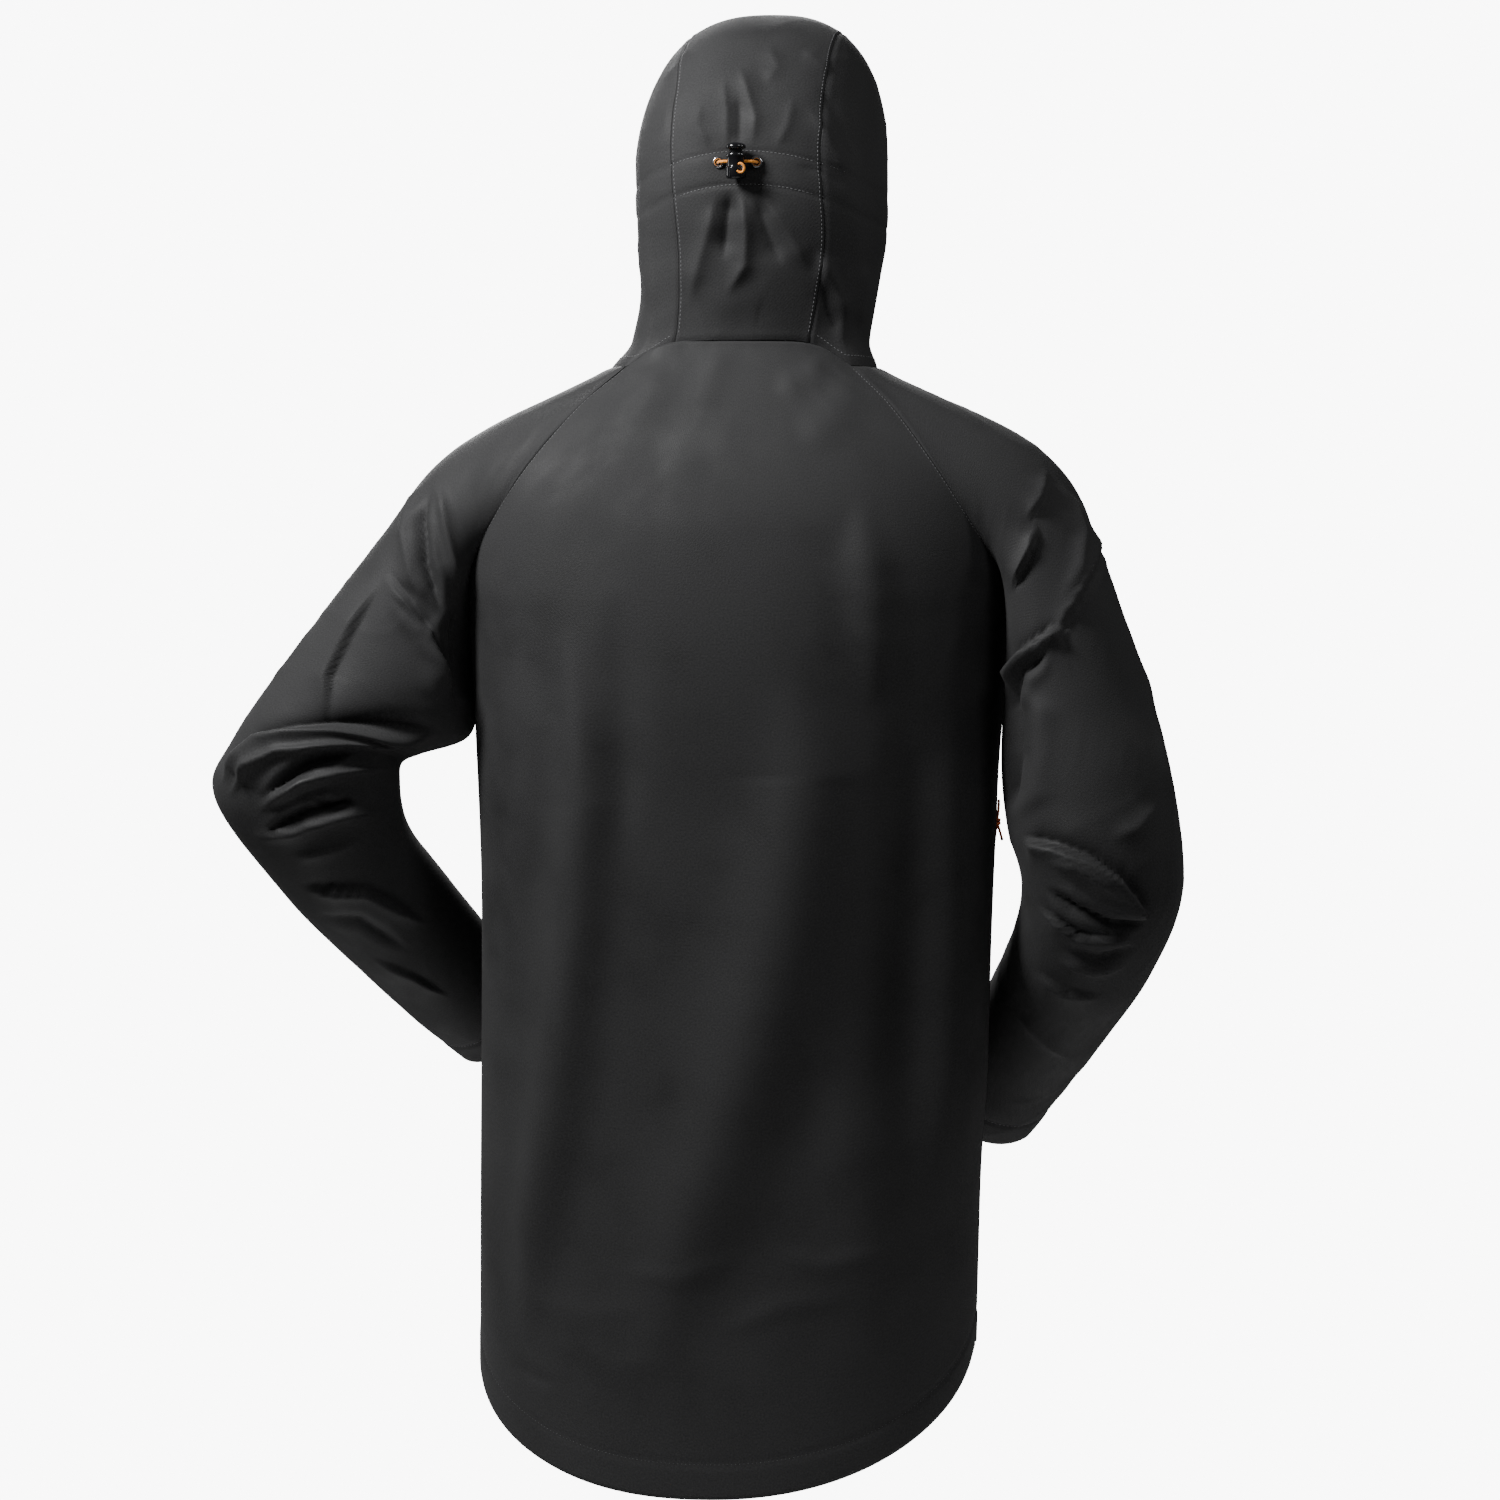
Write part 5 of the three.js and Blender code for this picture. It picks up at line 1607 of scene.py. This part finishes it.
@dataclass
class Hood:
    """The hood's three panels, brim, seams and drawcord tunnel.

    Args:
        palette: The materials.
    """

    palette: Palette
    relief: Relief = field(
        default_factory=lambda: TunnelRelief(HOOD_FOLDS, 0.7, (40, 60), 7.0, -0.2, 1.1, 0.55)
    )

    def build(self) -> None:
        """Makes the hood's fabric."""
        fabric, lining = self.palette.get(FinishKind.SHELL, True), self.palette.get(FinishKind.LINING, True)
        crown = Cloth(crown_surface, self.relief, hood_inside)
        tuck = TUCK / HOOD_PANEL_HALF
        rows = Track.seamed(0, 1, 470, 2.4, sink=0.35)
        bm = grid_mesh(crown, Track.seamed(-1 - tuck, 1 + tuck, 118, 2.0, sink=1.0), rows)
        middle = thicken(new_object("hood_center_panel_fabric", bm, [fabric, lining]))
        neck_sewn(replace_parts(middle, "hood_center_panel"))
        self.crown = crown
        self.sides = {}
        for side in Side:
            cloth = Cloth(hood_side_surface(side), self.relief, hood_inside)
            self.sides[side] = cloth
            columns = Track.seamed(0, 1, 190, 2.6, (True, False), 0.35).turned_up(12 / 190, 4, 1.3)
            bm = grid_mesh(cloth, columns, Track.seamed(0, 1, 330, 2.6, sink=0.35))
            piece = thicken(new_object(f"hood_{side.word}_panel_fabric", bm, [fabric, lining]))
            neck_sewn(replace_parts(piece, f"hood_{side.word}_panel"))
        self._brim(fabric, lining)
        self._stitches()

    def _brim(self, fabric: bpy.types.Material, lining: bpy.types.Material) -> None:
        """The stiffened brim ahead of the middle panel."""

        def shape(s: Array, t: Array) -> Array:
            """The surface of the piece."""
            return crown_surface(0.985 * s, 1.0018 + 0.1 * t * (1 - 0.8 * np.clip(np.abs(s), 0, 1) ** 3.5))

        brim = Cloth(shape, Relief((), 0.3, (50, 50), 4.0), hood_inside, SHELL / 2 + 0.3)
        rows = Track.seamed(0, 1, 48, 2.4, (True, False)).turned_up(0.25, 3, 1.4)
        bm = grid_mesh(brim, Track.seamed(-1, 1, 118, 2.4), rows)
        piece = thicken(new_object("hood_brim_fabric", bm, [fabric, lining]), 1.0)
        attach(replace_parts(piece, "hood_brim"), "hood")

    def _stitches(self) -> None:
        """Rows beside both hood seams, along the tunnel and round the face."""
        bm = Repeats()
        t = np.linspace(0.01, 0.99, 260)
        for side in Side:
            stitch_row(bm, self.crown.points(np.full(t.shape, side.value * 0.962), t, np.full(t.shape, 0.15)))
            face = self.sides[side]
            stitch_row(bm, face.points(np.full(t.shape, 1 - 11 / 190), t, np.full(t.shape, 0.1)))
            s = np.linspace(0.02, 0.98, 120)
            stitch_row(bm, face.points(s, np.full(s.shape, 0.012), np.full(s.shape, 0.2)))
        for k in (-1, 1):
            x = np.linspace(-0.86 * HOOD_HALF_WIDTH, 0.86 * HOOD_HALF_WIDTH, 200)
            z = TUNNEL_Z - TUNNEL_DROP * (x / HOOD_HALF_WIDTH) ** 2 + k * TUNNEL_WIDTH / 2
            p = drawn_in(hood_back_point(x, z))
            step = 1.0
            across = hood_back_point(x + step, z) - hood_back_point(x - step, z)
            n = unit(np.cross(across, hood_back_point(x, z + step) - hood_back_point(x, z - step)))
            n = np.where((n[:, 1] < 0)[:, None], -n, n)
            lift = self.crown.relief.lift(p, n)
            stitch_row(bm, p + n * (SHELL / 2 + lift + 0.1)[:, None])
        neck_sewn(bm.build("hood_stitches", thread_pattern(), self.palette.get(FinishKind.THREAD)))


def eyelet_place(side: Side) -> Array:
    """The middle of a cord eyelet on the hood's plain surface."""
    x = LOCK_CENTRE_X + side.value * EYELET_SPREAD
    return hood_back_point(np.array(x - hood_lean(EYELET_Z)), np.array(EYELET_Z))


def spun(profile: Sequence[tuple[float, float]], steps: int) -> bmesh.types.BMesh:
    """A closed solid of revolution about Z.

    Args:
        profile: Radius and height from the lower pole round to the upper one.
        steps: How many steps round.

    Returns:
        The mesh, in millimetres.
    """
    bm = bmesh.new()
    verts = [bm.verts.new((r, 0, z)) for r, z in profile]
    edges = [bm.edges.new(pair) for pair in zip(verts, verts[1:])]
    bmesh.ops.spin(
        bm,
        geom=verts + edges,
        axis=(0, 0, 1),
        cent=(0, 0, 0),
        steps=steps,
        angle=2 * math.pi,
        use_merge=True,
    )
    bmesh.ops.remove_doubles(bm, verts=bm.verts, dist=1e-3)
    bmesh.ops.recalc_face_normals(bm, faces=bm.faces)
    return bm


def placed(bm: bmesh.types.BMesh, matrix: Matrix) -> bmesh.types.BMesh:
    """Moves a mesh in millimetres to its place in metres."""
    bmesh.ops.transform(bm, matrix=Matrix.Scale(MM, 4) @ matrix, verts=bm.verts)
    return bm


@dataclass
class CordLock:
    """The cord lock on the back of the hood with its cord and eyelets.

    Args:
        palette: The materials.
    """

    palette: Palette

    def build(self) -> None:
        """Makes the lock, button, eyelets and cord."""
        fabric_y = float(hood_back_point(np.array(0.0), np.array(EYELET_Z))[1])
        centre_y = fabric_y + SHELL / 2 + 3 * FIT + LOCK_RADIUS
        self.centre = Vector((LOCK_CENTRE_X, centre_y, EYELET_Z - (LOCK_HEIGHT - BUTTON_HEIGHT)))
        self._body()
        self._button()
        self._eyelets()
        self._cord()

    def _body(self) -> None:
        """The barrel with rounded foot, waist groove, lip and a thin mould line."""
        r, h = LOCK_RADIUS, LOCK_HEIGHT
        profile = [
            (0, 0), (r - 2.4, 0), (r - 1.0, 0.4), (r - 0.2, 1.5), (r, 3), (r, 8.6),
            (r - 0.8, 9.4), (r - 1.0, 10.2), (r - 1.0, 16), (r - 0.5, 17), (r - 0.2, 18.2),
            (r - 0.5, 19.4), (r - 1.4, h), (5.7, h), (5.6, 19.2), (5.6, 2.2), (0, 2.2),
        ]
        bm = spun(profile, 40)
        place = Matrix.Translation(self.centre)
        placed(bm, place)
        holder = new_object("cord_lock_body", bm, [self.palette.get(FinishKind.MOULDED)])
        bevel = holder.modifiers.new("edges", "BEVEL")
        bevel.width, bevel.segments, bevel.limit_method = 0.0002, 2, "ANGLE"
        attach(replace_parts(holder, "hood_cord_lock_body"), "hood")
        rib = bmesh.new()
        for turn in (62, -118):
            made = bmesh.ops.create_cube(rib, size=1.0)
            m = Matrix.Rotation(math.radians(turn), 4, "Z")
            m = m @ Matrix.Translation((r - 0.2, 0, 6.0)) @ Matrix.Diagonal((0.8, 0.7, 9.5, 1))
            bmesh.ops.transform(rib, matrix=m, verts=made["verts"])
        bmesh.ops.bevel(
            rib, geom=rib.edges, offset=0.25, segments=2, affect="EDGES", profile=0.5, material=-1
        )
        placed(rib, place)
        line = new_object("cord_lock_ribs", rib, [self.palette.get(FinishKind.MOULDED)])
        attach(line, "hood")

    def _button(self) -> None:
        """The domed button on its stem."""
        r, seat = LOCK_RADIUS, LOCK_HEIGHT + LOCK_TRAVEL + FIT
        stem = LOCK_HEIGHT - BUTTON_HEIGHT + CORD_DIAMETER / 2 + LOCK_TRAVEL + FIT
        profile = [
            (0, stem), (5.0, stem), (5.2, stem + 0.4), (5.2, seat - 0.6), (5.6, seat),
            (r - 0.5, seat), (r, seat + 0.5), (r, seat + 1.8), (r - 0.4, seat + 2.8),
            (r - 1.4, seat + 3.6), (r - 3.2, seat + 4.3), (2.4, seat + 4.7), (0, seat + 4.8),
        ]
        bm = placed(spun(profile, 40), Matrix.Translation(self.centre))
        button = new_object("cord_lock_button", bm, [self.palette.get(FinishKind.MOULDED)])
        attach(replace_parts(button, "hood_cord_lock_button"), "hood_button")

    def _eyelets(self) -> None:
        """Two turned-over metal rings."""
        for side in Side:
            at = eyelet_place(side)
            half = (EYELET_OUTER - EYELET_BORE) / 2
            section = [
                (EYELET_BORE + half + half * math.cos(a), 0.75 * math.sin(a))
                for a in np.linspace(0, 2 * math.pi, 13)[:-1]
            ]
            bm = spun(section + section[:1], 36)
            turn = Matrix.Rotation(math.radians(-90), 4, "X")
            placed(bm, Matrix.Translation(Vector(at) + Vector((0, SHELL / 2 + FIT + 0.4, 0))) @ turn)
            ring = new_object(f"hood_{side.word}_eyelet_ring", bm, [self.palette.get(FinishKind.METAL)])
            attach(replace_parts(ring, f"hood_{side.word}_eyelet"), "hood")

    def _cord(self) -> None:
        """The orange cord from eyelet to eyelet through the lock, and the loop below it."""
        y = self.centre.y
        ends = []
        for side in (Side.LEFT, Side.RIGHT):
            x, back, _ = eyelet_place(side)
            k = side.value
            ends.append(
                [
                    (x + k * 0.4, back - 3.2, EYELET_Z),
                    (x, back + 1.6, EYELET_Z),
                    (x - k * 3, y - 1.2, EYELET_Z),
                    (LOCK_CENTRE_X + k * (LOCK_RADIUS - 1), y, EYELET_Z),
                ]
            )
        path = smooth_path(ends[0] + ends[1][::-1], 60)
        cord = braided(
            "hood_adjuster_cord_braid", path, CORD_DIAMETER / 2, self.palette.get(FinishKind.ORANGE)
        )
        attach(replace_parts(cord, "hood_adjuster_cord"), "hood")
        turn = np.linspace(math.radians(-150), math.radians(120), 26)
        loop = np.stack(
            [
                LOCK_CENTRE_X - 4.6 - 3.0 * np.cos(turn),
                np.full(26, y + LOCK_RADIUS - 0.4) + 0.8 * np.sin(turn),
                EYELET_Z - 5.6 + 3.4 * np.sin(turn),
            ], -1
        )
        small = braided("cord_lock_loop", loop, 0.95, self.palette.get(FinishKind.ORANGE))
        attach(small, "hood")


def braided(name: str, path: Array, radius: float, material: bpy.types.Material) -> bpy.types.Object:
    """A cord whose surface shows the braid's strands.

    Args:
        name: The piece's name.
        path: Its centre line in millimetres.
        radius: In millimetres.
        material: Its finish.

    Returns:
        The mesh object.
    """
    step = np.linalg.norm(np.diff(path, axis=0), axis=1)
    run = np.concatenate([[0], np.cumsum(step)])
    rows = max(12, int(run[-1] / 0.22))
    d = np.linspace(0, run[-1], rows + 1)
    p = np.stack([np.interp(d, run, path[:, k]) for k in range(3)], -1)
    along = unit(np.gradient(p, axis=0))
    side = unit(np.cross(along, np.array([0.31, 0.9, 0.3])))
    for i in range(1, len(p)):
        kept = side[i - 1] - along[i] * (side[i - 1] @ along[i])
        side[i] = kept / np.linalg.norm(kept)
    other = np.cross(along, side)
    sides = 24
    bm = bmesh.new()
    bmesh.ops.create_grid(bm, x_segments=sides, y_segments=rows, size=0.5)
    for vert in bm.verts:
        i = round((vert.co.x + 0.5) * sides)
        j = round((vert.co.y + 0.5) * rows)
        turn = 2 * math.pi * i / sides
        left, right = 4 * turn + 2.3 * d[j], 4 * turn - 2.3 * d[j]
        r = radius * (0.93 + 0.07 * max(math.sin(left), math.sin(right)))
        end = min(d[j], run[-1] - d[j])
        r *= min(1.0, 0.55 + 0.45 * (end / (0.6 * radius)) ** 0.5)
        vert.co = Vector((p[j] + r * (math.cos(turn) * side[j] + math.sin(turn) * other[j])) * MM)
    bmesh.ops.remove_doubles(bm, verts=bm.verts, dist=1e-6)
    bmesh.ops.holes_fill(bm, edges=[e for e in bm.edges if e.is_boundary], sides=0)
    bmesh.ops.recalc_face_normals(bm, faces=bm.faces)
    return new_object(name, bm, [material])


# ---------------------------------------------------------------- zips
@dataclass
class ZipLine:
    """A straight zip on the body.

    Args:
        top: Degrees round and height of its upper end.
        bottom: The same for its lower end.
    """

    top: tuple[float, float]
    bottom: tuple[float, float]

    def __post_init__(self) -> None:
        """Works out the zip's own directions."""
        self.a = body_point(math.radians(self.top[0]), self.top[1])
        self.b = body_point(math.radians(self.bottom[0]), self.bottom[1])
        self.length = float(np.linalg.norm(self.b - self.a))
        self.along = unit(self.b - self.a)
        middle = math.radians((self.top[0] + self.bottom[0]) / 2)
        z = (self.top[1] + self.bottom[1]) / 2
        around = unit(body_point(middle + 0.01, z) - body_point(middle - 0.01, z))
        out = unit(np.cross(self.along, around))
        self.out = -out if out[0] * self.a[0] + out[1] * self.a[1] < 0 else out
        self.across = unit(np.cross(self.along, self.out))

    def at(self, distance: float, lift: float, shift: float = 0.0) -> Array:
        """A point by distance from the top, height off the line and place across."""
        return self.a + self.along * distance + self.out * lift + self.across * shift

    def matrix(self, distance: float, lift: float) -> Matrix:
        """The place of a piece whose X is across, Y out and Z up the zip."""
        m = Matrix.Identity(4)
        for k, axis in enumerate((self.across, self.out, -self.along)):
            for row in range(3):
                m[row][k] = axis[row]
        m.translation = Vector(self.at(distance, lift))
        return m


@dataclass
class Zip:
    """A zip's teeth, slider and pull.

    Args:
        name: The CAD nodes' shared name.
        line: Where it lies.
        slider_at: Distance of the slider from the top.
        teeth_lift: Height of the teeth off the line.
        slider_lift: Height of the slider off the line.
        teeth_nodes: The CAD nodes the teeth stand for.
        palette: The materials.
    """

    name: str
    line: ZipLine
    slider_at: float
    teeth_lift: float
    slider_lift: float
    teeth_nodes: tuple[str, ...]
    palette: Palette

    def build(self) -> None:
        """Makes the teeth, slider and pull cord."""
        self._teeth()
        self._slider()
        self._pull()

    def _teeth(self) -> None:
        """Two rows of interlocking moulded teeth."""
        bm = bmesh.new()
        pitch = 2.6
        made = bmesh.ops.create_cube(bm, size=1.0)
        bmesh.ops.transform(bm, matrix=Matrix.Diagonal((2.5, TEETH_THICK, 1.15, 1)), verts=made["verts"])
        bmesh.ops.bevel(bm, geom=bm.edges, offset=0.24, segments=1, affect="EDGES", profile=0.5, material=-1)
        bm.verts.index_update()
        rows = Repeats()
        for k, d in enumerate(np.arange(4, self.line.length - 4, pitch / 2)):
            shift = 0.75 if k % 2 else -0.75
            rows.places.append(
                self.line.matrix(float(d), self.teeth_lift) @ Matrix.Translation((shift, 0, 0))
            )
        teeth = rows.build(f"{self.name}_tooth_rows", bm, self.palette.get(FinishKind.TEETH), False)
        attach(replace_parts(teeth, *self.teeth_nodes), "torso")

    def _slider(self) -> None:
        """A moulded slider: a plate that narrows towards its lower end and a raised bridge for the cord."""
        bm = bmesh.new()
        made = bmesh.ops.create_cube(bm, size=1.0)
        bmesh.ops.transform(
            bm,
            matrix=Matrix.Translation((0, 1.0, 0)) @ Matrix.Diagonal((SLIDER_WIDTH, 2.0, SLIDER_LENGTH, 1)),
            verts=made["verts"],
        )
        for vert in bm.verts:
            if vert.co.z < 0:
                vert.co.x *= 0.6
        bmesh.ops.bevel(bm, geom=bm.edges, offset=0.7, segments=3, affect="EDGES", profile=0.5, material=-1)
        bridge = bmesh.ops.create_cube(bm, size=1.0)
        bmesh.ops.transform(
            bm,
            matrix=Matrix.Translation((0, 2.9, 0.5)) @ Matrix.Diagonal((2.6, 1.9, 9.0, 1)),
            verts=bridge["verts"],
        )
        edges = {e for v in bridge["verts"] for e in v.link_edges}
        bmesh.ops.bevel(
            bm, geom=list(edges), offset=0.55, segments=3, affect="EDGES", profile=0.5, material=-1
        )
        placed(bm, self.line.matrix(self.slider_at, self.slider_lift))
        slider = new_object(f"{self.name}_slider_body", bm, [self.palette.get(FinishKind.MOULDED)])
        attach(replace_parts(slider, f"{self.name}_slider"), f"{self.name}_runner")

    def _pull(self) -> None:
        """A cord hanging from the slider to a knot, with two cut tails."""
        lift = self.slider_lift + SLIDER_THICK + FIT + PULL_DIAMETER / 2
        hang = self.line.at(self.slider_at, lift)
        side = math.copysign(1, hang[0] or 1) * math.copysign(1, self.line.out[1] or -1)
        route = [hang + np.array([side * s * s * 1.5, 0, -s * PULL_DROP]) for s in (0, 0.35, 0.7, 1)]
        knot = route[-1]
        tail = knot + np.array([side * 2, 0, -PULL_TAIL - KNOT_RADIUS])
        rust = self.palette.get(FinishKind.RUST)
        path = smooth_path([*route, tail], 48)
        cord = braided(f"{self.name}_pull", path, PULL_DIAMETER / 2 * 0.92, rust)
        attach(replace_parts(cord, f"{self.name}_pull_cord"), f"{self.name}_runner")
        bends = np.linspace(0, 2 * math.pi, 60)
        wrap = np.stack(
            [
                knot[0] + 1.9 * np.cos(3 * bends),
                knot[1] + 1.7 * np.sin(3 * bends),
                knot[2] + 1.5 * np.sin(bends) + 0.9 * np.cos(2 * bends),
            ], -1
        )
        tied = braided(f"{self.name}_pull_knot", wrap, 1.25, rust)
        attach(tied, f"{self.name}_runner")
        fork = np.array([-side * 4.2, 0.6, -PULL_TAIL - KNOT_RADIUS + 0.6])
        second = smooth_path(
            [knot + np.array([0, 0.6, -1.5]), knot + fork * 0.45 + np.array([0, 0.4, 0]), knot + fork], 16
        )
        other = braided(f"{self.name}_pull_tail", second, PULL_DIAMETER / 2 * 0.92, rust)
        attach(other, f"{self.name}_runner")
        tips = []
        for end, before in ((path[-1], path[-4]), (second[-1], second[-3])):
            d = unit(end - before)
            tip = braided(
                f"{self.name}_pull_tip_{len(tips)}",
                np.stack([end - d * 2.2, end - d, end + d * 0.3]),
                PULL_DIAMETER / 2 * 1.02,
                self.palette.get(FinishKind.RUST_TIP),
            )
            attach(tip, f"{self.name}_runner")
            tips.append(tip)


def all_zips(palette: Palette) -> list[Zip]:
    """The jacket's five zips.

    Args:
        palette: The materials.

    Returns:
        The zips, not yet built.
    """
    zips = []
    for side in Side:
        k = side.value
        for name, top, bottom, slack, at_top in (
            ("pit_zip", (109, -225), (109, -372), 0.3, False),
            ("pocket_zip", (139, -520), (134, -680), -0.5, True),
        ):
            line = ZipLine((k * top[0], top[1]), (k * bottom[0], bottom[1]))
            seat = SHELL / 2 + FIT + slack + TRIM + FIT
            at = SLIDER_LENGTH if at_top else line.length - SLIDER_LENGTH
            full = f"{side.word}_{name}"
            zips.append(Zip(
                full,
                line,
                at,
                seat + TEETH_THICK / 2,
                seat + TEETH_THICK + FIT,
                (f"{full}_teeth",),
                palette,
            ))
    line = ZipLine((180, COLLAR_RISE - 2), (180, FRONT_HEM_Z + 4))
    nodes = ("front_zip_left_teeth", "front_zip_right_teeth")
    zips.append(Zip("front_zip", line, SLIDER_LENGTH, 0.0, SHELL / 2 + FIT + 0.8, nodes, palette))
    return zips


def repaint(palette: Palette) -> None:
    """Gives the CAD nodes that stay their procedural finishes."""
    finishes = {
        "lining": FinishKind.LINING,
        "tape": FinishKind.TAPE,
        "moulded": FinishKind.TEETH,
        "metal": FinishKind.METAL,
        "shell_fabric": FinishKind.SHELL,
        "orange_cord": FinishKind.ORANGE,
        "rust_cord": FinishKind.RUST,
    }
    for part in frame["record"]["subparts"]:
        obj = bpy.data.objects.get(part["node"])
        if obj is None or obj.hide_render:
            continue
        for held in obj.material_slots:
            held.material = palette.get(finishes[part["material_slot"]])


def main() -> None:
    """Builds the jacket and its studio in order."""
    logging.basicConfig(level=logging.INFO, format="%(message)s")
    Studio().build()
    palette = Palette()
    for zipper in all_zips(palette):
        LOG.info("zip %s", zipper.name)
        zipper.build()
    LOG.info("cord lock")
    CordLock(palette).build()
    LOG.info("body")
    BodyShell(palette).build()
    for side in Side:
        LOG.info("%s sleeve", side.word)
        Sleeve(side, palette).build()
    LOG.info("hood")
    Hood(palette).build()
    repaint(palette)


if __name__ == "__main__":
    main()
